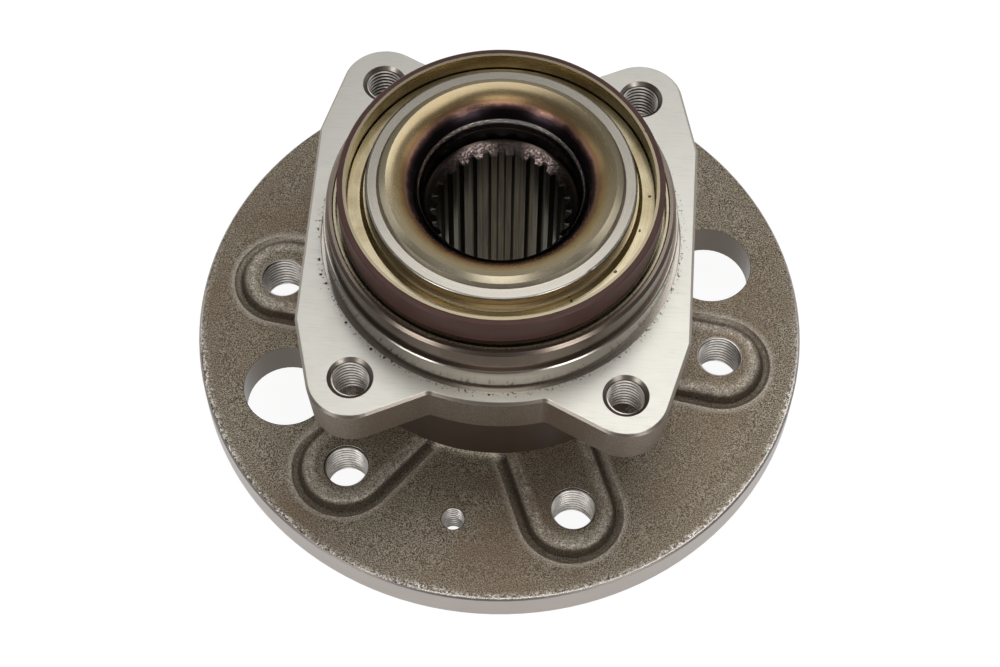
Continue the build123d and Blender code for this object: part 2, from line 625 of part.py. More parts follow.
# Magnetised elastomer ring bonded round the cup wall
with BuildPart() as encoder_ring:
    with BuildSketch(Plane.XZ):
        with BuildLine():
            Polyline(
                (CUP_R, ENCODER_LOW_Z),
                (ENCODER_R - ENCODER_FOOT_EDGE, ENCODER_LOW_Z),
                (ENCODER_R, ENCODER_LOW_Z + ENCODER_FOOT_EDGE),
                (ENCODER_R, ENCODER_TOP_Z - ENCODER_EDGE),
                (ENCODER_R - ENCODER_EDGE, ENCODER_TOP_Z),
                (CUP_R, ENCODER_TOP_Z),
                close=True,
            )
        make_face()
    revolve(axis=Axis.Z)
encoder_ring.part.label = "encoder_ring"
export_step(encoder_ring.part, "parts/encoder_ring.step")

# Cover ring over the cup floor, with a hemmed stem
with BuildPart() as cover_ring:
    with BuildSketch(Plane.XZ):
        with BuildLine():
            Polyline(
                (HIGH_SHOULDER_R, COVER_LOW_Z),
                (COVER_R, COVER_LOW_Z),
                (COVER_R, COVER_LOW_Z + SHEET_T),
                (COVER_STEM_R + SHEET_T, COVER_LOW_Z + SHEET_T),
                (COVER_STEM_R, COVER_LOW_Z + 2 * SHEET_T),
                (COVER_STEM_R, COVER_TOP_Z - COVER_HEM),
                (COVER_STEM_R - COVER_HEM, COVER_TOP_Z),
                (HIGH_SHOULDER_R, COVER_TOP_Z),
                close=True,
            )
        make_face()
    revolve(axis=Axis.Z)
cover_ring.part.label = "cover_ring"
export_step(cover_ring.part, "parts/cover_ring.step")

# Inboard seal: sheet case in the spigot and its bonded lips
with BuildPart() as inboard_seal_case:
    with BuildSketch(Plane.XZ):
        with BuildLine():
            Polyline(
                (IN_SEAT_R, IN_CASE_Z),
                (IN_SEAT_R, IN_CASE_TOP_Z),
                (IN_SEAT_R - CASE_T, IN_CASE_TOP_Z),
                (IN_SEAT_R - CASE_T, IN_CASE_Z + CASE_T),
                (IN_CASE_HOLE_R, IN_CASE_Z + CASE_T),
                (IN_CASE_HOLE_R, IN_CASE_Z),
                close=True,
            )
        make_face()
    revolve(axis=Axis.Z)
inboard_seal_case.part.label = "inboard_seal_case"
export_step(inboard_seal_case.part, "parts/inboard_seal_case.step")

with BuildPart() as inboard_seal_lip:
    with BuildSketch(Plane.XZ):
        with BuildLine():
            Polyline(
                (IN_CASE_HOLE_R - LIP_GRIP, IN_CASE_Z - LIP_SKIN),
                (IN_CASE_HOLE_R + LIP_GRIP, IN_CASE_Z - LIP_SKIN),
                (IN_CASE_HOLE_R + LIP_GRIP, IN_CASE_Z),
                (IN_CASE_HOLE_R, IN_CASE_Z),
                (IN_CASE_HOLE_R, IN_CASE_Z + CASE_T),
                (IN_AXIAL_ROOT_R, IN_CASE_Z + CASE_T),
                (IN_AXIAL_ROOT_R, IN_CASE_Z + CASE_T + LIP_SKIN),
                (IN_AXIAL_TIP_R, IN_AXIAL_TIP_Z),
                (IN_AXIAL_TIP_R - LIP_TIP_W, IN_AXIAL_TIP_Z),
                (IN_AXIAL_ROOT_R - LIP_ROOT_W, IN_CASE_Z + CASE_T + LIP_SKIN),
                (IN_CASE_HOLE_R, IN_CASE_Z + CASE_T + LIP_SKIN),
                (IN_RADIAL_TIP_R + LIP_TIP_W, IN_RADIAL_TIP_Z + LIP_TIP_W),
                (IN_RADIAL_TIP_R, IN_RADIAL_TIP_Z),
                (IN_RADIAL_TIP_R, IN_RADIAL_TIP_Z - LIP_TIP_W),
                close=True,
            )
        make_face()
    revolve(axis=Axis.Z)
inboard_seal_lip.part.label = "inboard_seal_lip"
export_step(inboard_seal_lip.part, "parts/inboard_seal_lip.step")

# Outboard seal: sheet case in the body and its bonded lips
with BuildPart() as outboard_seal_case:
    with BuildSketch(Plane.XZ):
        with BuildLine():
            Polyline(
                (OUT_SEAT_R, OUT_CASE_LOW_Z),
                (OUT_SEAT_R, OUT_CASE_TOP_Z),
                (OUT_CASE_HOLE_R, OUT_CASE_TOP_Z),
                (OUT_CASE_HOLE_R, OUT_CASE_TOP_Z - CASE_T),
                (OUT_SEAT_R - CASE_T, OUT_CASE_TOP_Z - CASE_T),
                (OUT_SEAT_R - CASE_T, OUT_CASE_LOW_Z),
                close=True,
            )
        make_face()
    revolve(axis=Axis.Z)
outboard_seal_case.part.label = "outboard_seal_case"
export_step(outboard_seal_case.part, "parts/outboard_seal_case.step")

with BuildPart() as outboard_seal_lip:
    with BuildSketch(Plane.XZ):
        with BuildLine():
            Polyline(
                (OUT_CASE_HOLE_R - LIP_GRIP, OUT_CASE_TOP_Z + LIP_SKIN),
                (OUT_CASE_HOLE_R + LIP_GRIP, OUT_CASE_TOP_Z + LIP_SKIN),
                (OUT_CASE_HOLE_R + LIP_GRIP, OUT_CASE_TOP_Z),
                (OUT_CASE_HOLE_R, OUT_CASE_TOP_Z),
                (OUT_CASE_HOLE_R, OUT_CASE_TOP_Z - CASE_T),
                (OUT_AXIAL_ROOT_R, OUT_CASE_TOP_Z - CASE_T),
                (OUT_AXIAL_ROOT_R, OUT_CASE_TOP_Z - CASE_T - LIP_SKIN),
                (OUT_AXIAL_TIP_R, OUT_AXIAL_TIP_Z),
                (OUT_AXIAL_TIP_R - LIP_TIP_W, OUT_AXIAL_TIP_Z),
                (OUT_AXIAL_ROOT_R - LIP_ROOT_W, OUT_CASE_TOP_Z - CASE_T - LIP_SKIN),
                (OUT_CASE_HOLE_R, OUT_CASE_TOP_Z - CASE_T - LIP_SKIN),
                (OUT_RADIAL_TIP_R + LIP_TIP_W, OUT_RADIAL_TIP_Z - LIP_TIP_W),
                (OUT_RADIAL_TIP_R, OUT_RADIAL_TIP_Z),
                (OUT_RADIAL_TIP_R, OUT_RADIAL_TIP_Z + LIP_TIP_W),
                close=True,
            )
        make_face()
    revolve(axis=Axis.Z)
outboard_seal_lip.part.label = "outboard_seal_lip"
export_step(outboard_seal_lip.part, "parts/outboard_seal_lip.step")
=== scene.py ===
import logging
import math
from dataclasses import dataclass, field
from enum import Enum
from typing import Union

import bmesh
import bpy
from mathutils import Matrix, Quaternion, Vector


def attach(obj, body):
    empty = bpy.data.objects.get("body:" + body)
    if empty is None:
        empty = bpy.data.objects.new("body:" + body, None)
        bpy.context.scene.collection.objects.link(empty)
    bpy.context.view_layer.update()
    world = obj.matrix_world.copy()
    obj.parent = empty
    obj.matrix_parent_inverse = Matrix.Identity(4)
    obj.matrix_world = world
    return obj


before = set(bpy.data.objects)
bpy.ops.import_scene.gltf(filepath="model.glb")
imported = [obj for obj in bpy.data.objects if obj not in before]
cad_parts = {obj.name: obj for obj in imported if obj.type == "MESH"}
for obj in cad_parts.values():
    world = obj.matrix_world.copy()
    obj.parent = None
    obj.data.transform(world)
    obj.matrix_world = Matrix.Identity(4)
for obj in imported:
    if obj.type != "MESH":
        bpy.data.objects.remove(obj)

# Dressed model of a driven wheel hub unit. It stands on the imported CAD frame, whose nodes keep
# their meshes. Sizes below are in millimetres, and meshes are written in metres.

LOG = logging.getLogger("hub_unit")
MM = 0.001
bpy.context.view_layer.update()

Color = tuple[float, float, float]
Value = Union[float, Color, bpy.types.NodeSocket]


class Body(Enum):
    """Bodies of the frame that new pieces ride on."""

    HUB = "hub_unit"
    RING = "outer_ring_unit"


class Holes(Enum):
    """Groups of threaded holes."""

    WHEEL = "wheel_bolts"
    SCREW = "brake_disc_screw"
    EAR = "ear_bolts"


class Slot(Enum):
    """Material slot names of the record."""

    FORGED = "forged_steel"
    MACHINED = "machined_steel"


@dataclass(frozen=True)
class HubPlan:
    """Places on the hub that finishes and threads are fitted to."""

    bolt_circle: float = 65.0
    bolt_count: int = 6
    bolt_phase: float = -7.5
    bolt_wall: float = 6.4
    pad_phase: float = -8.3
    pad_half: float = 13.2
    access_angles: tuple[float, float] = (21.2, 203.8)
    access_wall: float = 12.5
    screw_angle: float = -97.5
    screw_wall: float = 3.35
    screw_top: float = 11.65
    drilled_from: float = 50.0
    wheel_face: float = 0.4
    pad_top: float = 14.0
    rim: float = 87.55
    neck: float = 41.7
    neck_low: float = 16.6
    shaft: float = 36.6
    shaft_low: float = 26.0
    nose: float = 33.4
    nose_low: float = 81.0
    mouth: tuple[float, float] = (20.95, 22.3)
    mouth_heights: tuple[float, float] = (79.6, 82.7)
    mouth_line: float = 21.8
    bore: float = 21.0
    bore_low: float = 7.0
    spline_top: float = 71.8
    cone_top: float = 74.4

    def spot(self, angle: float) -> tuple[float, float]:
        """Place on the bolt circle at an angle in degrees."""
        turn = math.radians(angle)
        return self.bolt_circle * math.cos(turn), self.bolt_circle * math.sin(turn)


@dataclass(frozen=True)
class RingPlan:
    """Places on the outer ring that finishes and threads are fitted to."""

    ear_x: float = 36.5
    ear_y: float = 47.7
    ear_wall: float = 5.25
    ear_face: float = 60.0
    ear_low: float = 45.6
    face_from: float = 49.0
    turned: float = 49.2
    body: float = 51.2
    body_top: float = 45.7
    flange: float = 51.5
    pitted: float = 51.4
    upper_spigot: float = 47.6
    upper_low: float = 66.0


HUB = HubPlan()
RING = RingPlan()


@dataclass(frozen=True)
class Coat:
    """One finish as plain values or sockets; height is in millimetres."""

    color: Value
    roughness: Value
    height: Value = 0.0
    metallic: Value = 1.0


class Graph:
    """Writes the nodes of one material, with its point in millimetres."""

    def __init__(self, name: str) -> None:
        """Start a material.

        Args:
            name: Name of the material.
        """
        self.material = bpy.data.materials.new(name)
        self.material.use_nodes = True
        self.nodes = self.material.node_tree.nodes
        self.links = self.material.node_tree.links
        self.nodes.clear()
        place = self.add("ShaderNodeTexCoord").outputs["Object"]
        scaled = self.add("ShaderNodeVectorMath", {0: place, "Scale": 1000.0}, operation="SCALE")
        self.point = scaled.outputs[0]
        axes = self.add("ShaderNodeSeparateXYZ", {0: self.point}).outputs
        self.x, self.y, self.z = axes[0], axes[1], axes[2]
        self.radius = self.reach(self.x, self.y)
        self.turn = self.math("ARCTAN2", self.y, self.x)

    def add(self, kind: str, inputs: dict | None = None, **settings: object) -> bpy.types.Node:
        """Add a node, set it and plug its inputs.

        Args:
            kind: Type name of the node.
            inputs: Values or sockets for its inputs, by name or place.
            settings: Properties of the node.

        Returns:
            The node.
        """
        node = self.nodes.new(kind)
        for key, value in settings.items():
            setattr(node, key, value)
        for key, value in (inputs or {}).items():
            self.plug(node.inputs[key], value)
        return node

    def plug(self, socket: bpy.types.NodeSocket, value: Value) -> None:
        """Link a socket, or set its own value.

        Args:
            socket: Input to fill.
            value: Another node's output, a number or a colour.
        """
        if isinstance(value, bpy.types.NodeSocket):
            self.links.new(value, socket)
        elif isinstance(value, tuple) and len(socket.default_value) == 4:
            socket.default_value = (*value[:3], 1.0)
        else:
            socket.default_value = value

    def math(self, operation: str, *values: Value, clamp: bool = False) -> bpy.types.NodeSocket:
        """Math node.

        Args:
            operation: Its operation.
            values: One to three inputs.
            clamp: Keep the result between 0 and 1.

        Returns:
            Its output.
        """
        inputs = dict(enumerate(values))
        return self.add("ShaderNodeMath", inputs, operation=operation, use_clamp=clamp).outputs[0]

    def reach(self, x: Value, y: Value) -> bpy.types.NodeSocket:
        """Length of a vector in the plane."""
        return self.math("SQRT", self.math("ADD", self.math("MULTIPLY", x, x), self.math("MULTIPLY", y, y)))

    def distance(self, x: float, y: float) -> bpy.types.NodeSocket:
        """Distance from an upright line through (x, y)."""
        return self.reach(self.math("SUBTRACT", self.x, x), self.math("SUBTRACT", self.y, y))

    def above(self, value: Value, edge: Value, soft: float = 0.1) -> bpy.types.NodeSocket:
        """Mask that rises from 0 to 1 across an edge.

        Args:
            value: What is compared.
            edge: Where the mask is one half.
            soft: Half width of the rise.

        Returns:
            The mask.
        """
        lift = self.math("DIVIDE", self.math("SUBTRACT", value, edge), 2 * soft)
        return self.math("ADD", lift, 0.5, clamp=True)

    def below(self, value: Value, edge: Value, soft: float = 0.1) -> bpy.types.NodeSocket:
        """Mask that is 1 below an edge."""
        return self.math("SUBTRACT", 1.0, self.above(value, edge, soft))

    def between(self, value: Value, low: float, high: float, soft: float = 0.1) -> bpy.types.NodeSocket:
        """Mask that is 1 between two edges."""
        return self.math("MULTIPLY", self.above(value, low, soft), self.below(value, high, soft))

    def all_of(self, *masks: Value) -> bpy.types.NodeSocket:
        """Product of masks.

        Args:
            masks: Masks that all have to be 1.

        Returns:
            The joined mask.
        """
        out = masks[0]
        for mask in masks[1:]:
            out = self.math("MULTIPLY", out, mask)
        return out

    def any_of(self, *masks: Value) -> bpy.types.NodeSocket:
        """Greatest of masks.

        Args:
            masks: Masks of which one has to be 1.

        Returns:
            The joined mask.
        """
        out = masks[0]
        for mask in masks[1:]:
            out = self.math("MAXIMUM", out, mask)
        return out

    def noise(self, scale: float, detail: float = 2.0, rough: float = 0.5, vector: Value | None = None,
              distortion: float = 0.0) -> bpy.types.NodeSocket:
        """Noise between 0 and 1.

        Args:
            scale: Cells per millimetre.
            detail: Octaves.
            rough: Weight of the finer octaves.
            vector: Where it is read; the point if left out.
            distortion: How far it is warped.

        Returns:
            Its factor.
        """
        inputs = {"Vector": vector or self.point, "Scale": scale, "Detail": detail, "Roughness": rough,
                  "Distortion": distortion}
        return self.add("ShaderNodeTexNoise", inputs).outputs[0]

    def cells(self, scale: float, vector: Value | None = None) -> bpy.types.NodeSocket:
        """Distance to the nearest of scattered points."""
        inputs = {"Vector": vector or self.point, "Scale": scale}
        return self.add("ShaderNodeTexVoronoi", inputs).outputs["Distance"]

    def stretched(self, along: float, across: float, up: float) -> bpy.types.NodeSocket:
        """Point scaled apart on x, y and z, for brushed marks."""
        inputs = {0: self.point, 1: (along, across, up)}
        return self.add("ShaderNodeVectorMath", inputs, operation="MULTIPLY").outputs[0]

    def lathe(self, radial: float = 1.0, axial: float = 1.0, around: float = 0.02) -> bpy.types.NodeSocket:
        """Vector for turned marks, which hardly changes round the spin axis.

        Args:
            radial: Scale of the radius.
            axial: Scale of the height.
            around: Scale of the place round the axis.

        Returns:
            The vector.
        """
        flat = self.stretched(around, around, 0.0)
        rings = self.add("ShaderNodeCombineXYZ", {0: self.math("MULTIPLY", self.radius, radial),
                                                  2: self.math("MULTIPLY", self.z, axial)})
        inputs = {0: flat, 1: rings.outputs[0]}
        return self.add("ShaderNodeVectorMath", inputs, operation="ADD").outputs[0]

    def mix(self, factor: Value, first: Value, second: Value) -> bpy.types.NodeSocket:
        """Mix of two colours."""
        inputs = {0: factor, 6: first, 7: second}
        return self.add("ShaderNodeMix", inputs, data_type="RGBA").outputs[2]

    def blend(self, factor: Value, first: Value, second: Value) -> bpy.types.NodeSocket:
        """Mix of two numbers."""
        return self.add("ShaderNodeMix", {0: factor, 2: first, 3: second}).outputs[0]

    def ramp(self, factor: Value, stops: list[tuple[float, Color]], low: float = 0.0,
             high: float = 1.0) -> bpy.types.NodeSocket:
        """Colour ramp over a range of a value.

        Args:
            factor: Value that is read.
            stops: Places, in the value's own unit, and colours.
            low: Value at the ramp's start.
            high: Value at the ramp's end.

        Returns:
            Its colour.
        """
        span = self.math("DIVIDE", self.math("SUBTRACT", factor, low), high - low, clamp=True)
        node = self.add("ShaderNodeValToRGB", {0: span})
        band = node.color_ramp
        while len(band.elements) < len(stops):
            band.elements.new(0.5)
        for element, (place, color) in zip(band.elements, stops):
            element.position = (place - low) / (high - low)
            element.color = (*color, 1.0)
        return node.outputs[0]

    def lay(self, mask: Value, under: Coat, over: Coat) -> Coat:
        """Lay one coat over another where the mask is 1.

        Args:
            mask: Where the upper coat shows.
            under: Lower coat.
            over: Upper coat.

        Returns:
            The joined coat.
        """
        metallic = under.metallic
        if not (isinstance(metallic, float) and metallic == over.metallic):
            metallic = self.blend(mask, under.metallic, over.metallic)
        return Coat(
            self.mix(mask, under.color, over.color),
            self.blend(mask, under.roughness, over.roughness),
            self.blend(mask, under.height, over.height),
            metallic,
        )

    def finish(self, coat: Coat, **constants: float) -> bpy.types.Material:
        """Close the material with one Principled shader.

        Args:
            coat: What it shows.
            constants: Values for sockets that are the same all over.

        Returns:
            The material.
        """
        inputs = {"Base Color": coat.color, "Metallic": coat.metallic, "Roughness": coat.roughness}
        if isinstance(coat.height, bpy.types.NodeSocket):
            bump = self.add("ShaderNodeBump", {"Strength": 1.0, "Distance": MM, "Height": coat.height})
            inputs["Normal"] = bump.outputs[0]
        for key, value in constants.items():
            inputs[key.replace("_", " ")] = value
        shader = self.add("ShaderNodeBsdfPrincipled", inputs)
        self.add("ShaderNodeOutputMaterial", {0: shader.outputs[0]})
        return self.material


@dataclass(frozen=True)
class TurnedSteel:
    """Bright lathe-turned steel with fine rings."""

    tint: Color = (0.56, 0.52, 0.48)
    shade: Color = (0.40, 0.36, 0.33)
    roughness: float = 0.26
    pitch: float = 0.22
    depth: float = 0.002

    def coat(self, graph: Graph) -> Coat:
        """Coat of turned rings, worn a little unevenly.

        Args:
            graph: Material that it is written to.

        Returns:
            The coat.
        """
        rings = graph.noise(1.0 / self.pitch, 3.0, 0.6, graph.lathe())
        cloud = graph.noise(0.08, 3.0, 0.6)
        color = graph.mix(graph.math("MULTIPLY", rings, cloud), self.tint, self.shade)
        rough = graph.math("MULTIPLY_ADD", rings, 0.16, self.roughness - 0.08)
        return Coat(color, rough, graph.math("MULTIPLY", rings, self.depth))


@dataclass(frozen=True)
class ForgedSkin:
    """Blasted forging skin: warm dark grey with a sparkling grain and rusty clouds."""

    tint: Color = (0.565, 0.490, 0.375)
    deep: Color = (0.085, 0.067, 0.048)
    rust: Color = (0.23, 0.155, 0.095)
    roughness: float = 0.44
    grain: float = 2.7
    depth: float = 0.11
    metallic: float = 0.8

    def coat(self, graph: Graph) -> Coat:
        """Coat with coarse and fine grain.

        Args:
            graph: Material that it is written to.

        Returns:
            The coat.
        """
        coarse = graph.noise(self.grain, 3.0, 0.62)
        fine = graph.noise(self.grain * 2.2, 2.0, 0.6)
        dents = graph.cells(self.grain * 0.6)
        grain = graph.blend(0.4, coarse, fine)
        lit = graph.above(grain, 0.51, 0.06)
        color = graph.mix(lit, self.deep, self.tint)
        cloud = graph.above(graph.noise(0.045, 3.0, 0.55), 0.56, 0.12)
        color = graph.mix(graph.math("MULTIPLY", cloud, 0.5), color, self.rust)
        rough = graph.math("MULTIPLY_ADD", fine, 0.22, self.roughness - 0.11)
        height = graph.math("MULTIPLY", graph.math("MULTIPLY_ADD", dents, 0.6, grain), self.depth)
        return Coat(color, rough, height, self.metallic)


@dataclass(frozen=True)
class HeatTint:
    """Temper colours of the rolled nose, by radius, from straw to dark brown, and painted shade in black
    where it drops into the bore.
    """

    outer: float = 34.0
    inner: float = 20.0
    roughness: float = 0.25
    stops: tuple[tuple[float, Color], ...] = (
        # The near-black stops below 24 mm are painted shade where the nose drops into the bore.
        (20.0, (0.010, 0.008, 0.009)),
        (23.9, (0.014, 0.010, 0.012)),
        (24.7, (0.085, 0.048, 0.040)),
        (25.4, (0.360, 0.200, 0.145)),
        (26.0, (0.340, 0.190, 0.080)),
        (27.1, (0.560, 0.380, 0.170)),
        (28.8, (0.740, 0.600, 0.350)),
        (30.8, (0.700, 0.610, 0.430)),
        (34.0, (0.360, 0.310, 0.245)),
    )

    def coat(self, graph: Graph) -> Coat:
        """Coat of temper colours, with smudges, drag marks and painted shade on the far half.

        Args:
            graph: Material that it is written to.

        Returns:
            The coat.
        """
        drag = graph.noise(2.4, 3.0, 0.6, graph.lathe(1.0, 1.0, 0.12))
        smudge = graph.noise(0.28, 4.0, 0.65)
        wander = graph.math("MULTIPLY_ADD", smudge, 1.5, -0.75)
        place = graph.math("ADD", graph.radius, wander)
        color = graph.ramp(place, list(self.stops), self.inner, self.outer)
        worn = graph.above(graph.noise(0.9, 4.0, 0.7), 0.62, 0.05)
        dull = graph.math("MULTIPLY", worn, graph.above(graph.radius, 27.0, 1.0))
        color = graph.mix(graph.math("MULTIPLY", dull, 0.35), color, (0.72, 0.68, 0.58))
        # Painted shade: the outer nose is darkened on its far half.
        back_shade = graph.all_of(graph.above(graph.y, 2.0, 16.0), graph.above(graph.radius, 26.4, 0.8))
        color = graph.mix(graph.math("MULTIPLY", back_shade, 0.72), color, (0.27, 0.205, 0.115))
        rough = graph.math("MULTIPLY_ADD", drag, 0.14, self.roughness - 0.07)
        height = graph.math("MULTIPLY", graph.blend(0.5, drag, smudge), 0.006)
        return Coat(color, rough, height)


@dataclass(frozen=True)
class HubFinish:
    """Whole finish of the hub: forging skin, machined zones, nose, bore and spline."""

    skin: ForgedSkin = ForgedSkin()
    turned: TurnedSteel = TurnedSteel()
    rim: TurnedSteel = TurnedSteel((0.46, 0.415, 0.385), (0.38, 0.335, 0.305), 0.34, 0.45, 0.001)
    dark: TurnedSteel = TurnedSteel((0.13, 0.105, 0.088), (0.08, 0.062, 0.052), 0.42, 0.3, 0.002)
    access: TurnedSteel = TurnedSteel((0.14, 0.118, 0.098), (0.10, 0.082, 0.067), 0.30)
    tint: HeatTint = HeatTint()

    def bolt_holes(self, graph: Graph) -> bpy.types.NodeSocket:
        """Distance to the axis of the nearest wheel-bolt hole.

        Args:
            graph: Material that it is written to.

        Returns:
            The distance in millimetres.
        """
        return self.folded(graph, HUB.bolt_phase)[2]

    def folded(self, graph: Graph, phase: float) -> tuple[bpy.types.NodeSocket, ...]:
        """Place against the nearest wheel-bolt hole, with the hub's six sixths folded on one.

        Args:
            graph: Material that it is written to.
            phase: Angle of the first one in degrees.

        Returns:
            Outward offset, sideways offset and distance, in millimetres.
        """
        half = math.pi / HUB.bolt_count
        turn = graph.math("WRAP", graph.math("SUBTRACT", graph.turn, math.radians(phase)), half, -half)
        out = graph.math("SUBTRACT", graph.math("MULTIPLY", graph.radius, graph.math("COSINE", turn)),
                         HUB.bolt_circle)
        side = graph.math("MULTIPLY", graph.radius, graph.math("SINE", turn))
        return out, side, graph.reach(out, side)

    def pad_edge(self, graph: Graph) -> bpy.types.NodeSocket:
        """Distance outside the pads' outline.

        Args:
            graph: Material that it is written to.

        Returns:
            The distance in millimetres, negative on a pad.
        """
        out, side, _ = self.folded(graph, HUB.pad_phase)
        ahead = graph.math("MAXIMUM", out, 0.0)
        return graph.math("SUBTRACT", graph.reach(ahead, side), HUB.pad_half)

    def walls(self, graph: Graph) -> bpy.types.NodeSocket:
        """Mask of the drilled walls through the disc.

        Args:
            graph: Material that it is written to.

        Returns:
            The mask.
        """
        masks = [graph.below(self.bolt_holes(graph), HUB.bolt_wall + 0.12, 0.05)]
        for angle in HUB.access_angles:
            masks.append(graph.below(graph.distance(*HUB.spot(angle)), HUB.access_wall + 0.12, 0.05))
        masks.append(graph.below(graph.distance(*HUB.spot(HUB.screw_angle)), HUB.screw_wall + 0.12, 0.05))
        return graph.all_of(graph.any_of(*masks), graph.above(graph.radius, HUB.drilled_from))

    def disc(self, graph: Graph) -> Coat:
        """Coat of the disc's forged side: pads with painted groove shade and crest highlights, and a rim edge
        with chips and painted glints.

        Args:
            graph: Material that it is written to.

        Returns:
            The coat.
        """
        skin = self.skin.coat(graph)
        edge = self.pad_edge(graph)
        patchy = graph.above(graph.noise(0.5, 3.0, 0.6), 0.45, 0.2)
        speck = graph.above(graph.noise(2.1, 3.0, 0.7), 0.53, 0.05)
        # Painted shade: the groove round each pad is darkened to near black.
        valley_shade = graph.math("MULTIPLY", graph.between(edge, -1.8, 0.5, 0.7), 0.68)
        # Painted highlights: the crests just inside and just outside each groove are lightened to near white,
        # in flecks.
        inner = graph.all_of(graph.between(edge, -4.6, -1.8, 0.8), patchy,
                             graph.math("MULTIPLY_ADD", speck, 0.72, 0.18))
        outer = graph.all_of(graph.between(edge, 1.1, 2.9, 0.8), graph.math("MULTIPLY_ADD", speck, 0.35, 0.2))
        color = graph.mix(valley_shade, skin.color, (0.045, 0.034, 0.027))
        color = graph.mix(graph.any_of(inner, outer), color, (0.92, 0.84, 0.73))
        front = graph.below(graph.y, 5.0, 25.0)
        reach = graph.math("MULTIPLY_ADD", graph.noise(0.05, 3.0, 0.6), 5.0, -1.2)
        zone = graph.above(graph.math("ADD", graph.radius, graph.math("MULTIPLY", reach, 0.7)), 87.1, 0.8)
        flecks = graph.above(graph.noise(1.2, 4.0, 0.7), 0.53, 0.04)
        burr = graph.above(graph.radius, 87.15, 0.12)
        bare = graph.above(graph.noise(0.035, 2.0, 0.5), 0.5, 0.02)
        # Bright flecks along the rim and its burr, set only on the front half: chipped metal with painted
        # glints.
        chips_and_glints = graph.math("MULTIPLY", graph.any_of(graph.math("MULTIPLY", zone, flecks),
                                                    graph.math("MULTIPLY", burr, bare)), front)
        # Darker where the burr ring on the front half is not bare.
        front_edge_dark = graph.all_of(burr, front, graph.math("SUBTRACT", 0.7, bare))
        color = graph.mix(graph.math("MAXIMUM", front_edge_dark, 0.0), color, (0.06, 0.045, 0.036))
        color = graph.mix(graph.math("MULTIPLY", chips_and_glints, 0.85), color, (0.90, 0.86, 0.80))
        rough = graph.blend(chips_and_glints, skin.roughness, 0.22)
        return Coat(color, rough, skin.height, skin.metallic)

    def coat(self, graph: Graph) -> Coat:
        """Coat of the hub, zone by zone.

        Args:
            graph: Material that it is written to.

        Returns:
            The coat.
        """
        z, radius = graph.z, graph.radius
        turned = self.turned.coat(graph)
        rim = self.rim.coat(graph)
        out = self.disc(graph)
        broken = graph.math("MULTIPLY_ADD", graph.noise(0.9, 3.0, 0.6), 0.5, -0.2)
        out = graph.lay(graph.above(graph.math("ADD", radius, broken), HUB.rim, 0.05), out, rim)
        out = graph.lay(graph.below(z, HUB.wheel_face, 0.1), out, rim)
        out = graph.lay(self.walls(graph), out, turned)
        dark = self.dark.coat(graph)
        large = graph.all_of(graph.above(self.bolt_holes(graph), 12.0), graph.below(z, 12.5),
                             self.walls(graph))
        out = graph.lay(large, out, self.access.coat(graph))
        # Painted shade: the bare wall between the thread turns is darkened as the thread roots.
        shaded_roots = graph.all_of(graph.below(self.bolt_holes(graph), HUB.bolt_wall + 0.03, 0.02),
                             graph.between(z, 0.5, 13.9, 0.05), graph.above(radius, HUB.drilled_from))
        out = graph.lay(shaded_roots, out, dark)
        neck = graph.all_of(graph.below(radius, HUB.neck, 0.1), graph.above(z, HUB.neck_low, 0.3))
        out = graph.lay(neck, out, dark)
        bright = graph.all_of(graph.below(radius, HUB.shaft, 0.2), graph.above(z, HUB.shaft_low, 0.5))
        out = graph.lay(bright, out, turned)
        nose = graph.all_of(graph.below(radius, HUB.nose, 0.1), graph.above(z, HUB.nose_low, 0.5))
        out = graph.lay(nose, out, self.tint.coat(graph))
        bevel = graph.all_of(graph.between(radius, *HUB.mouth, 0.12),
                             graph.between(z, *HUB.mouth_heights, 0.15))
        out = graph.lay(bevel, out, self.mouth(graph))
        inner = graph.all_of(graph.below(radius, HUB.bore, 0.1), graph.above(z, HUB.bore_low, 0.5))
        out = graph.lay(inner, out, self.bore(graph))
        return out

    def mouth(self, graph: Graph) -> Coat:
        """Coat of the bright bevel at the bore's mouth, speckled, partly coppered and painted near-black
        below the mouth line as shade.

        Args:
            graph: Material that it is written to.

        Returns:
            The coat.
        """
        speck = graph.above(graph.noise(1.3, 4.0, 0.7), 0.58, 0.04)
        east = graph.above(graph.x, 6.0, 9.0)
        west = graph.below(graph.x, -15.0, 5.0)
        color = graph.mix(graph.math("MULTIPLY", west, 0.6), (0.86, 0.85, 0.83), (0.66, 0.40, 0.27))
        # Painted shade: below the mouth line the bevel is near black.
        color = graph.mix(graph.below(graph.radius, HUB.mouth_line, 0.12), color, (0.030, 0.022, 0.020))
        color = graph.mix(graph.math("MULTIPLY", speck, east), color, (0.03, 0.025, 0.022))
        return Coat(color, 0.24, graph.math("MULTIPLY", speck, -0.02))

    def bore(self, graph: Graph) -> Coat:
        """Coat of the bore in painted shade, the torn spline ends with painted light on their far side, and
        the spline.

        Args:
            graph: Material that it is written to.

        Returns:
            The coat.
        """
        # Painted shade: the bore above the cone is near black.
        bore_shade = Coat((0.030, 0.024, 0.020), 0.22, graph.math("MULTIPLY", graph.noise(0.8, 3.0), 0.01))
        torn = graph.noise(1.7, 4.0, 0.75)
        torn_color = graph.ramp(torn, [(0.0, (0.02, 0.013, 0.012)), (0.48, (0.14, 0.10, 0.09)),
                                       (0.58, (0.66, 0.52, 0.50)), (1.0, (0.80, 0.68, 0.66))])
        patches = graph.any_of(graph.between(graph.x, -12.0, -4.0, 2.0),
                               graph.between(graph.x, 6.0, 13.5, 2.0))
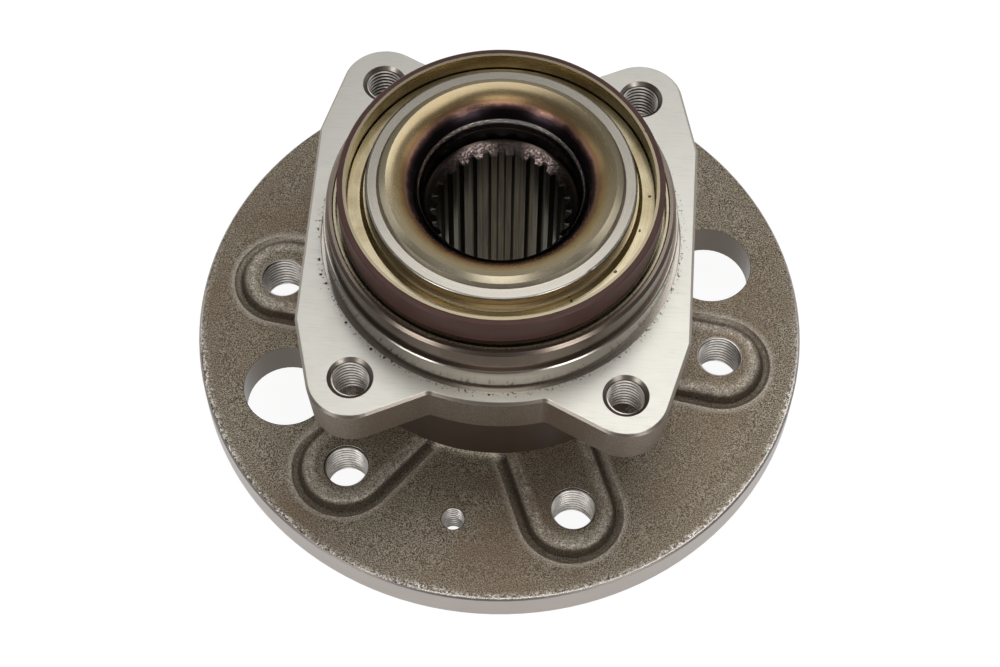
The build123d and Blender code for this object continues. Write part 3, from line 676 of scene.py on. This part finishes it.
        # Painted light: the torn tones show only in patches on the far side; elsewhere the cone is near-black
        # painted shade.
        lit_far_side = graph.all_of(graph.above(graph.y, 12.0, 3.0), graph.math("MULTIPLY_ADD", patches, 0.88, 0.12))
        cone = Coat(graph.mix(lit_far_side, (0.022, 0.016, 0.013), torn_color), 0.26,
                    graph.math("MULTIPLY", torn, 0.22))
        streak = graph.noise(1.6, 3.0, 0.6, graph.stretched(1.0, 1.0, 0.03))
        tooth = graph.ramp(streak, [(0.3, (0.02, 0.015, 0.010)), (0.7, (0.085, 0.067, 0.035))])
        spline = Coat(tooth, 0.26, graph.math("MULTIPLY", streak, 0.012))
        out = graph.lay(graph.below(graph.z, HUB.spline_top, 0.15), cone, spline)
        return graph.lay(graph.above(graph.z, HUB.cone_top, 0.5), out, bore_shade)

    def material(self) -> bpy.types.Material:
        """Material of the hub."""
        graph = Graph("forged_and_machined_hub")
        return graph.finish(self.coat(graph))


@dataclass(frozen=True)
class RingFinish:
    """Whole finish of the outer ring: milled ears, forged sides, turned spigot."""

    skin: ForgedSkin = ForgedSkin((0.28, 0.235, 0.19), (0.17, 0.137, 0.107), (0.22, 0.155, 0.11),
                                  0.42, 2.2, 0.04)
    turned: TurnedSteel = TurnedSteel((0.52, 0.48, 0.43), (0.36, 0.32, 0.28), 0.20, 0.30, 0.0022)
    mouths: TurnedSteel = TurnedSteel((0.34, 0.30, 0.26), (0.24, 0.205, 0.175), 0.34)
    body: TurnedSteel = TurnedSteel((0.105, 0.076, 0.062), (0.070, 0.050, 0.041), 0.48, 0.5, 0.002)
    brown_reflection: TurnedSteel = TurnedSteel((0.24, 0.195, 0.16), (0.14, 0.11, 0.09), 0.24, 0.30, 0.0022)
    face: Color = (0.79, 0.77, 0.70)
    specks: tuple[tuple[float, float], ...] = (
        (-48.6, -12.0), (-47.7, -16.7), (-46.0, -19.4), (-42.0, -25.6),
        (-39.3, -31.1), (-31.8, -38.7), (-28.1, -40.9), (-25.9, -41.9),
    )

    def ear_holes(self, graph: Graph) -> bpy.types.NodeSocket:
        """Distance to the axis of the nearest ear hole.

        Args:
            graph: Material that it is written to.

        Returns:
            The distance in millimetres.
        """
        return graph.reach(graph.math("SUBTRACT", graph.math("ABSOLUTE", graph.x), RING.ear_x),
                           graph.math("SUBTRACT", graph.math("ABSOLUTE", graph.y), RING.ear_y))

    def milled(self, graph: Graph) -> Coat:
        """Coat of the milled ear faces: straight brush marks, clouds, pits by the spigot.

        Args:
            graph: Material that it is written to.

        Returns:
            The coat.
        """
        brush = graph.noise(2.2, 4.0, 0.7, graph.stretched(0.06, 1.0, 1.0))
        cloud = graph.noise(0.10, 4.0, 0.6)
        color = graph.mix(graph.math("MULTIPLY", cloud, 0.5), self.face, (0.60, 0.58, 0.53))
        color = graph.mix(graph.above(brush, 0.62, 0.1), color, (0.66, 0.64, 0.59))
        near = graph.below(graph.radius, RING.pitted, 1.6)
        pits = graph.above(graph.noise(1.15, 3.0, 0.75), graph.blend(near, 0.78, 0.585), 0.015)
        ragged = graph.math("MULTIPLY_ADD", graph.noise(1.8, 2.0), 0.9, -0.05)
        dirt = graph.any_of(*(graph.below(graph.distance(x, y), ragged, 0.08) for x, y in self.specks))
        pits = graph.any_of(pits, dirt)
        color = graph.mix(pits, color, (0.04, 0.033, 0.028))
        rough = graph.math("MULTIPLY_ADD", brush, 0.18, 0.28)
        height = graph.math("MULTIPLY_ADD", pits, -0.05, graph.math("MULTIPLY", brush, 0.004))
        return Coat(color, rough, height)

    def coat(self, graph: Graph) -> Coat:
        """Coat of the outer ring, zone by zone.

        Args:
            graph: Material that it is written to.

        Returns:
            The coat.
        """
        z, radius = graph.z, graph.radius
        turned = self.turned.coat(graph)
        out = self.skin.coat(graph)
        face = graph.all_of(graph.above(z, RING.ear_face - 0.12, 0.04),
                            graph.above(radius, RING.face_from, 0.05))
        out = graph.lay(face, out, self.milled(graph))
        edge = graph.all_of(graph.between(z, RING.ear_face - 0.85, RING.ear_face - 0.12, 0.06),
                            graph.above(radius, RING.flange, 0.3))
        out = graph.lay(edge, out, Coat((0.40, 0.35, 0.30), 0.3))
        away = self.ear_holes(graph)
        out = graph.lay(graph.below(away, RING.ear_wall + 1.0, 0.04), out, self.mouths.coat(graph))
        # Painted shade: the bare wall between the ear-hole thread turns is darkened as the thread roots.
        shaded_roots = graph.all_of(graph.below(away, RING.ear_wall + 0.03, 0.02),
                             graph.between(z, RING.ear_low + 1.0, RING.ear_face - 0.9, 0.05))
        out = graph.lay(shaded_roots, out, Coat((0.08, 0.064, 0.052), 0.4))
        # The body under the ear flange is painted near black: its dark turned finish with painted shade under
        # the flange.
        body = graph.all_of(graph.below(radius, RING.body, 0.1), graph.below(z, RING.body_top, 0.2))
        out = graph.lay(body, out, self.body.coat(graph))
        out = graph.lay(graph.below(radius, RING.turned, 0.08), out, turned)
        # Painted reflection: the upper spigot band is turned steel painted dark brown.
        upper = graph.all_of(graph.below(radius, RING.upper_spigot, 0.1), graph.above(z, RING.upper_low, 0.3))
        return graph.lay(upper, out, self.brown_reflection.coat(graph))

    def material(self) -> bpy.types.Material:
        """Material of the outer ring."""
        graph = Graph("milled_and_turned_ring")
        return graph.finish(self.coat(graph))


@dataclass(frozen=True)
class InnerRingFinish:
    """Ground steel with a matt face, painted light towards the front and a painted brown reflection on its
    outside.
    """

    turned: TurnedSteel = TurnedSteel((0.40, 0.37, 0.32), (0.26, 0.235, 0.20), 0.28, 0.16, 0.0015)
    brown_reflection: TurnedSteel = TurnedSteel((0.36, 0.27, 0.17), (0.24, 0.17, 0.10), 0.24, 0.4, 0.001)

    def material(self) -> bpy.types.Material:
        """Material of the inner ring.

        Returns:
            The material, with a painted brown reflection outside and painted light in front.
        """
        graph = Graph("ground_inner_ring")
        face = self.turned.coat(graph)
        brown = self.brown_reflection.coat(graph)
        # Painted reflection: the ring's outside is painted brown.
        side = graph.all_of(graph.above(graph.radius, 35.9, 0.1), graph.below(graph.z, 85.4, 0.2))
        # Painted light: the face is lightened towards the front.
        bright = graph.math("MULTIPLY", graph.below(graph.y, -18.0, 16.0), 0.45)
        face = graph.lay(bright, face, Coat((0.66, 0.62, 0.55), 0.26))
        return graph.finish(graph.lay(side, face, brown))


@dataclass(frozen=True)
class PassivatedSheet:
    """Yellow-passivated sheet: straw gold that drifts to olive and amber."""

    gold: Color = (0.66, 0.58, 0.40)
    olive: Color = (0.36, 0.29, 0.16)
    roughness: float = 0.26
    specks: tuple[tuple[float, float], ...] = (
        (-37.1, 21.0), (29.7, 30.5), (37.5, 19.3), (39.5, 2.1),
        (32.9, -0.7), (37.3, -8.8), (31.4, -21.9), (20.5, -31.6),
    )

    def material(self) -> bpy.types.Material:
        """Material of the pressed sheet parts.

        Returns:
            The material, with its cut edge, specks of dirt and painted light in front.
        """
        graph = Graph("passivated_sheet")
        drift = graph.noise(0.07, 4.0, 0.6, distortion=0.6)
        fine = graph.noise(2.0, 3.0, 0.6, graph.lathe())
        color = graph.mix(graph.above(drift, 0.5, 0.2), self.gold, self.olive)
        color = graph.mix(graph.math("MULTIPLY", fine, 0.3), color, (0.30, 0.24, 0.14))
        rim = graph.above(graph.z, 85.45, 0.06)
        # Painted light: the sheet is lightened towards the front.
        front = graph.math("MULTIPLY", graph.below(graph.y, -26.0, 9.0), 0.5)
        color = graph.mix(front, color, (0.82, 0.74, 0.56))
        color = graph.mix(rim, color, (0.34, 0.29, 0.20))
        ragged = graph.math("MULTIPLY_ADD", graph.noise(2.5, 2.0), 1.3, -0.25)
        dirt = graph.any_of(*(graph.below(graph.distance(x, y), ragged, 0.08) for x, y in self.specks))
        color = graph.mix(dirt, color, (0.015, 0.012, 0.010))
        rough = graph.math("MULTIPLY_ADD", fine, 0.14, self.roughness - 0.07)
        return graph.finish(Coat(color, rough, graph.math("MULTIPLY", fine, 0.003)))


@dataclass(frozen=True)
class Elastomer:
    """Moulded rubber or plastic with a faint matt grain."""

    name: str
    tint: Color
    shade: Color
    roughness: float
    specular: float = 0.2
    grain: float = 3.0

    def material(self) -> bpy.types.Material:
        """Material of one moulded finish.

        Returns:
            The material.
        """
        graph = Graph(self.name)
        cloud = graph.noise(0.12, 4.0, 0.6)
        fine = graph.noise(self.grain, 3.0, 0.6)
        color = graph.mix(graph.above(cloud, 0.5, 0.25), self.tint, self.shade)
        rough = graph.math("MULTIPLY_ADD", graph.blend(0.5, fine, cloud), 0.24, self.roughness - 0.12)
        coat = Coat(color, rough, graph.math("MULTIPLY", fine, 0.004), 0.0)
        return graph.finish(coat, Specular_IOR_Level=self.specular)


@dataclass(frozen=True)
class PolishedSteel:
    """Lapped steel of the balls and bare sheet, with the faintest orange peel."""

    name: str
    tint: Color
    roughness: float

    def material(self) -> bpy.types.Material:
        """Material of one polished finish.

        Returns:
            The material.
        """
        graph = Graph(self.name)
        peel = graph.noise(0.9, 3.0, 0.5)
        color = graph.mix(graph.math("MULTIPLY", peel, 0.3), self.tint, tuple(0.7 * c for c in self.tint))
        rough = graph.math("MULTIPLY_ADD", peel, 0.08, self.roughness - 0.04)
        return graph.finish(Coat(color, rough, graph.math("MULTIPLY", peel, 0.001)))


@dataclass(frozen=True)
class ThreadFinish:
    """Cut thread: bright crests, with painted shade that darkens the flanks into the roots."""

    name: str
    holes: Holes
    wall: float
    depth: float
    crest: Color = (0.95, 0.91, 0.86)
    flank: Color = (0.72, 0.66, 0.60)
    root_shade: Color = (0.035, 0.028, 0.023)

    def away(self, graph: Graph) -> bpy.types.NodeSocket:
        """Distance to the axis of the nearest hole of the group.

        Args:
            graph: Material that it is written to.

        Returns:
            The distance in millimetres.
        """
        if self.holes is Holes.EAR:
            return RingFinish().ear_holes(graph)
        if self.holes is Holes.SCREW:
            return graph.distance(*HUB.spot(HUB.screw_angle))
        return HubFinish().bolt_holes(graph)

    def material(self) -> bpy.types.Material:
        """Material of the threads.

        Returns:
            The material, coloured by the distance from the hole's axis.
        """
        graph = Graph(self.name)
        wear = graph.noise(0.5, 4.0, 0.6)
        fine = graph.noise(3.0, 3.0, 0.6, graph.stretched(1.0, 1.0, 2.0))
        # Painted shade: the colour darkens to near black towards the roots.
        stops = [(self.wall - self.depth, self.crest), (self.wall - 0.50 * self.depth, self.flank),
                 (self.wall - 0.20 * self.depth, self.root_shade), (self.wall, self.root_shade)]
        color = graph.ramp(self.away(graph), stops, self.wall - self.depth, self.wall)
        worn = graph.math("MULTIPLY", graph.above(wear, 0.56, 0.12), 0.4)
        color = graph.mix(worn, color, (0.20, 0.165, 0.14))
        rough = graph.math("MULTIPLY_ADD", fine, 0.2, 0.26)
        return graph.finish(Coat(color, rough, graph.math("MULTIPLY", fine, 0.004)))


@dataclass(frozen=True)
class ThreadedHole:
    """One inside thread, as a coil let into the drilled wall and cut flat at both ends."""

    x: float
    y: float
    low: float
    high: float
    wall: float
    pitch: float
    depth: float
    steps: int = 40
    bury: float = 0.2
    flank_angle: float = 30.0
    crest_share: float = 0.07

    def build(self, mesh: bmesh.types.BMesh) -> None:
        """Add the coil to a mesh.

        Args:
            mesh: Mesh that takes it, in metres.
        """
        coil = bmesh.new()
        crest = self.crest_share * self.pitch
        reach = self.depth * math.tan(math.radians(self.flank_angle)) + crest
        start = self.low - 1.2 * self.pitch
        buried, tip = self.wall + self.bury, self.wall - self.depth
        section = [(buried, -reach), (self.wall, -reach), (tip, -crest), (tip, crest), (self.wall, reach),
                   (buried, reach)]
        ring = [coil.verts.new((radius * MM, 0.0, (start + rise) * MM)) for radius, rise in section]
        edges = [coil.edges.new((ring[i], ring[(i + 1) % len(ring)])) for i in range(len(ring))]
        turns = (self.high - self.low) / self.pitch + 2.4
        bmesh.ops.spin(coil, geom=ring + edges, cent=(0, 0, 0), axis=(0, 0, 1),
                       dvec=(0, 0, self.pitch * MM / self.steps), angle=math.tau * turns,
                       steps=round(turns * self.steps))
        for height, side in ((self.low, -1), (self.high, 1)):
            geom = coil.verts[:] + coil.edges[:] + coil.faces[:]
            cut = bmesh.ops.bisect_plane(coil, geom=geom, plane_co=(0, 0, height * MM), plane_no=(0, 0, side),
                                         clear_outer=True)
            rims = [edge for edge in cut["geom_cut"] if isinstance(edge, bmesh.types.BMEdge)]
            bmesh.ops.holes_fill(coil, edges=rims, sides=0)
        bmesh.ops.triangulate(coil, faces=[face for face in coil.faces if len(face.verts) > 4])
        bmesh.ops.recalc_face_normals(coil, faces=coil.faces)
        bmesh.ops.translate(coil, verts=coil.verts, vec=(self.x * MM, self.y * MM, 0))
        part = bpy.data.meshes.new("coil")
        coil.to_mesh(part)
        coil.free()
        mesh.from_mesh(part)
        bpy.data.meshes.remove(part)


def make_piece(name: str, mesh: bmesh.types.BMesh, body: Body,
               material: bpy.types.Material) -> bpy.types.Object:
    """Turn a finished bmesh into a piece that rides on a body.

    Args:
        name: Name of the piece.
        mesh: Its shape, in metres and in place.
        body: Body that it rides on.
        material: Its finish.

    Returns:
        The piece's object.
    """
    data = bpy.data.meshes.new(name)
    mesh.to_mesh(data)
    mesh.free()
    data.materials.append(material)
    data.shade_smooth()
    data.set_sharp_from_angle(angle=math.radians(28.0))
    piece = bpy.data.objects.new(name, data)
    bpy.context.scene.collection.objects.link(piece)
    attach(piece, body.value)
    LOG.info("%s: %d faces, rides on %s", name, len(data.polygons), body.value)
    return piece


def dress(node: str, material: bpy.types.Material) -> None:
    """Give a CAD node its finish.

    Args:
        node: Name of the node.
        material: Its finish.
    """
    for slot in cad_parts[node].material_slots:
        slot.material = material
    LOG.info("%s: finished as %s", node, material.name)


@dataclass
class HubAssembly:
    """Forged hub with its cut threads."""

    thread_pitch: float = 1.5
    thread_depth: float = 0.52
    thread_low: float = 0.5
    screw_pitch: float = 1.25
    screw_depth: float = 0.36
    screw_steps: int = 32
    trim: float = 0.02
    finish: HubFinish = field(default_factory=HubFinish)

    def build(self) -> None:
        """Dress the hub and cut its threads."""
        dress("hub", self.finish.material())
        self.wheel_threads(
            ThreadFinish("cut_thread_wheel", Holes.WHEEL, HUB.bolt_wall, self.thread_depth).material())
        self.screw_thread(
            ThreadFinish("cut_thread_screw", Holes.SCREW, HUB.screw_wall, self.screw_depth).material())

    def wheel_threads(self, steel: bpy.types.Material) -> None:
        """Threads of the wheel-bolt holes.

        Args:
            steel: Their finish.
        """
        mesh = bmesh.new()
        for index in range(HUB.bolt_count):
            x, y = HUB.spot(HUB.bolt_phase + 360.0 / HUB.bolt_count * index)
            ThreadedHole(x, y, self.thread_low, HUB.pad_top - self.trim, HUB.bolt_wall, self.thread_pitch,
                         self.thread_depth).build(mesh)
        make_piece("wheel_bolt_threads", mesh, Body.HUB, steel)

    def screw_thread(self, steel: bpy.types.Material) -> None:
        """Thread of the brake-disc screw hole.

        Args:
            steel: Its finish.
        """
        mesh = bmesh.new()
        x, y = HUB.spot(HUB.screw_angle)
        ThreadedHole(x, y, self.trim, HUB.screw_top, HUB.screw_wall, self.screw_pitch, self.screw_depth,
                     self.screw_steps).build(mesh)
        make_piece("brake_disc_screw_thread", mesh, Body.HUB, steel)


@dataclass
class OuterRingAssembly:
    """Outer ring with its threaded ears and seals."""

    thread_pitch: float = 1.5
    thread_depth: float = 0.48
    edge: float = 0.95
    lead: float = 0.15
    finish: RingFinish = field(default_factory=RingFinish)

    def build(self) -> None:
        """Dress the ring and its seals, and cut its threads."""
        dress("outer_ring", self.finish.material())
        case = PolishedSteel("seal_case_sheet", (0.52, 0.46, 0.33), 0.28).material()
        lips = Elastomer("seal_rubber_black", (0.016, 0.015, 0.014), (0.024, 0.022, 0.020), 0.46).material()
        for side in ("inboard", "outboard"):
            dress(f"{side}_seal_case", case)
            dress(f"{side}_seal_lip", lips)
        self.ear_threads()

    def ear_threads(self) -> None:
        """Threads of the four ear holes."""
        mesh = bmesh.new()
        for x in (-RING.ear_x, RING.ear_x):
            for y in (-RING.ear_y, RING.ear_y):
                ThreadedHole(x, y, RING.ear_low + self.edge, RING.ear_face - self.edge + self.lead,
                             RING.ear_wall, self.thread_pitch, self.thread_depth).build(mesh)
        steel = ThreadFinish("cut_thread_ear", Holes.EAR, RING.ear_wall, self.thread_depth).material()
        make_piece("ear_bolt_threads", mesh, Body.RING, steel)


@dataclass
class TurningParts:
    """Inner ring, encoder and sheet parts that turn with the hub."""

    ring: InnerRingFinish = field(default_factory=InnerRingFinish)
    sheet: PassivatedSheet = field(default_factory=PassivatedSheet)
    encoder: Elastomer = Elastomer("encoder_elastomer", (0.088, 0.041, 0.033), (0.064, 0.031, 0.026), 0.36)

    def build(self) -> None:
        """Dress the pressed-on parts."""
        dress("inner_ring", self.ring.material())
        sheet = self.sheet.material()
        for node in ("encoder_carrier", "cover_ring", "inboard_slinger"):
            dress(node, sheet)
        dress("encoder_ring", self.encoder.material())


@dataclass
class RollingParts:
    """Balls and cages."""

    ball: PolishedSteel = PolishedSteel("ball_lapped_steel", (0.72, 0.72, 0.73), 0.10)
    cage: Elastomer = Elastomer("cage_glass_filled", (0.55, 0.50, 0.38), (0.48, 0.43, 0.32), 0.50, 0.4, 5.0)

    def build(self) -> None:
        """Dress both rows."""
        ball = self.ball.material()
        cage = self.cage.material()
        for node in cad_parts:
            if node.startswith("ball_"):
                dress(node, ball)
            elif node.startswith("cage_"):
                dress(node, cage)


@dataclass
class Studio:
    """Pale floor, soft lamps, white background and the photograph's camera."""

    floor_z: float = -10.1
    spot: tuple[float, float, float] = (0.134, -321.758, 576.635)
    pitch: float = 60.672
    roll: float = 0.642
    azimuth: float = 3.53
    lens: float = 79.827
    soft_level: float = 0.48
    back_level: float = 0.38
    room_level: float = 0.20
    overhead: tuple[float, float] = (0.82, 0.55)
    rearward: tuple[float, float] = (-0.25, 0.55)
    floor_level: float = 0.90
    floor_mirrored: float = 0.72

    def build(self) -> None:
        """Set up the studio."""
        self.camera()
        self.floor()
        self.world()
        self.lamps()
        bpy.context.scene.view_settings.view_transform = "Standard"

    def camera(self) -> None:
        """Camera at the photograph's place."""
        tilt, roll, turn = math.radians(self.pitch), math.radians(self.roll), math.radians(self.azimuth)
        right = Vector((1.0, 0.0, 0.0))
        up = Vector((0.0, math.sin(tilt), math.cos(tilt)))
        back = Vector((0.0, -math.cos(tilt), math.sin(tilt)))
        level = math.cos(roll) * right + math.sin(roll) * up
        upright = math.cos(roll) * up - math.sin(roll) * right
        basis = Matrix((level, upright, back)).transposed().to_4x4()
        around = Matrix.Rotation(turn, 4, "Z")
        data = bpy.data.cameras.new("camera")
        data.sensor_width = 36.0
        data.lens = self.lens
        camera = bpy.data.objects.new("camera", data)
        bpy.context.scene.collection.objects.link(camera)
        camera.matrix_world = around @ Matrix.Translation(Vector(self.spot) * MM) @ basis
        bpy.context.scene.camera = camera

    def floor(self) -> None:
        """Pale floor that shows white, keeps the object's shadow and is clear from below."""
        mesh = bmesh.new()
        bmesh.ops.create_grid(mesh, x_segments=2, y_segments=2, size=3.0)
        bmesh.ops.translate(mesh, verts=mesh.verts, vec=(0, 0, self.floor_z * MM))
        data = bpy.data.meshes.new("floor")
        mesh.to_mesh(data)
        mesh.free()
        floor = bpy.data.objects.new("floor", data)
        bpy.context.scene.collection.objects.link(floor)
        graph = Graph("pale_floor")
        path = graph.add("ShaderNodeLightPath").outputs
        seen = graph.any_of(path["Is Camera Ray"], path["Is Transmission Ray"])
        seen = graph.math("MULTIPLY", seen, self.floor_level)
        mirrored = graph.math("MULTIPLY", path["Is Glossy Ray"], self.floor_mirrored)
        matt = graph.add("ShaderNodeBsdfDiffuse", {"Color": (0.20, 0.20, 0.20)})
        strength = graph.any_of(seen, mirrored)
        glow = graph.add("ShaderNodeEmission", {"Color": (1.0, 1.0, 1.0), "Strength": strength})
        both = graph.add("ShaderNodeAddShader", {0: matt.outputs[0], 1: glow.outputs[0]})
        under = graph.add("ShaderNodeNewGeometry").outputs["Backfacing"]
        clear = graph.add("ShaderNodeBsdfTransparent")
        sided = graph.add("ShaderNodeMixShader", {0: under, 1: both.outputs[0], 2: clear.outputs[0]})
        graph.add("ShaderNodeOutputMaterial", {0: sided.outputs[0]})
        data.materials.append(graph.material)

    def world(self) -> None:
        """White background for the camera and plain soft light for the object."""
        world = bpy.data.worlds.new("studio")
        world.use_nodes = True
        tree = world.node_tree
        tree.nodes.clear()
        path = tree.nodes.new("ShaderNodeLightPath")
        shown = tree.nodes.new("ShaderNodeMath")
        shown.operation = "MAXIMUM"
        tree.links.new(path.outputs["Is Camera Ray"], shown.inputs[0])
        tree.links.new(path.outputs["Is Transmission Ray"], shown.inputs[1])
        way = tree.nodes.new("ShaderNodeSeparateXYZ")
        tree.links.new(tree.nodes.new("ShaderNodeTexCoord").outputs["Generated"], way.inputs[0])
        low = tree.nodes.new("ShaderNodeMapRange")
        low.inputs["From Min"].default_value, low.inputs["From Max"].default_value = self.overhead
        tree.links.new(way.outputs["Z"], low.inputs["Value"])
        behind = tree.nodes.new("ShaderNodeMapRange")
        behind.inputs["From Min"].default_value, behind.inputs["From Max"].default_value = self.rearward
        behind.inputs["To Max"].default_value = self.back_level - self.room_level
        tree.links.new(way.outputs["Y"], behind.inputs["Value"])
        seen = tree.nodes.new("ShaderNodeMath")
        seen.operation = "MULTIPLY_ADD"
        seen.inputs[2].default_value = self.room_level
        tree.links.new(low.outputs[0], seen.inputs[0])
        tree.links.new(behind.outputs[0], seen.inputs[1])
        room = tree.nodes.new("ShaderNodeMix")
        room.inputs[2].default_value = self.soft_level
        tree.links.new(seen.outputs[0], room.inputs[3])
        tree.links.new(path.outputs["Is Glossy Ray"], room.inputs[0])
        level = tree.nodes.new("ShaderNodeMix")
        level.inputs[3].default_value = 1.0
        tree.links.new(shown.outputs[0], level.inputs[0])
        tree.links.new(room.outputs[0], level.inputs[2])
        sky = tree.nodes.new("ShaderNodeBackground")
        tree.links.new(level.outputs[0], sky.inputs["Strength"])
        out = tree.nodes.new("ShaderNodeOutputWorld")
        tree.links.new(sky.outputs[0], out.inputs[0])
        bpy.context.scene.world = world

    def lamps(self) -> None:
        """Soft boxes: one high at the back, one behind the camera, two in front and one at each side."""
        self.softbox("back_box", (0.15, 0.37, 1.25), 0.80, 1.7, 25.0)
        self.softbox("front_top_box", (0.04, -0.60, 1.08), 0.50, 1.25)
        self.softbox("front_left_box", (-0.66, -0.78, 0.72), 0.40, 5.6)
        self.softbox("front_right_box", (0.66, -0.78, 0.72), 0.40, 5.6)
        self.softbox("left_box", (-1.05, 0.25, 0.80), 0.60, 0.35)
        self.softbox("right_box", (1.05, 0.25, 0.80), 0.60, 0.55)

    def softbox(self, name: str, place: tuple[float, float, float], size: float, level: float,
                roll: float = 0.0) -> None:
        """Add one square soft box that faces the object.

        Args:
            name: Name of the lamp.
            place: Where it hangs, in metres.
            size: Side length in metres.
            level: Brightness of its face, where 1 shows white.
            roll: Turn about its own axis in degrees, clockwise as the object sees it.
        """
        data = bpy.data.lights.new(name, "AREA")
        data.size = size
        data.energy = level * math.pi * size**2
        lamp = bpy.data.objects.new(name, data)
        lamp.location = place
        lamp.rotation_mode = "QUATERNION"
        spin = Quaternion((0.0, 0.0, 1.0), math.radians(roll))
        lamp.rotation_quaternion = Vector(place).to_track_quat("Z", "Y") @ spin
        bpy.context.scene.collection.objects.link(lamp)


def main() -> None:
    """Build and dress the hub unit, piece by piece."""
    logging.basicConfig(level=logging.INFO, format="%(name)s %(message)s")
    Studio().build()
    for assembly in (HubAssembly(), OuterRingAssembly(), TurningParts(), RollingParts()):
        LOG.info("building %s", type(assembly).__name__)
        assembly.build()


if __name__ == "__main__":
    main()
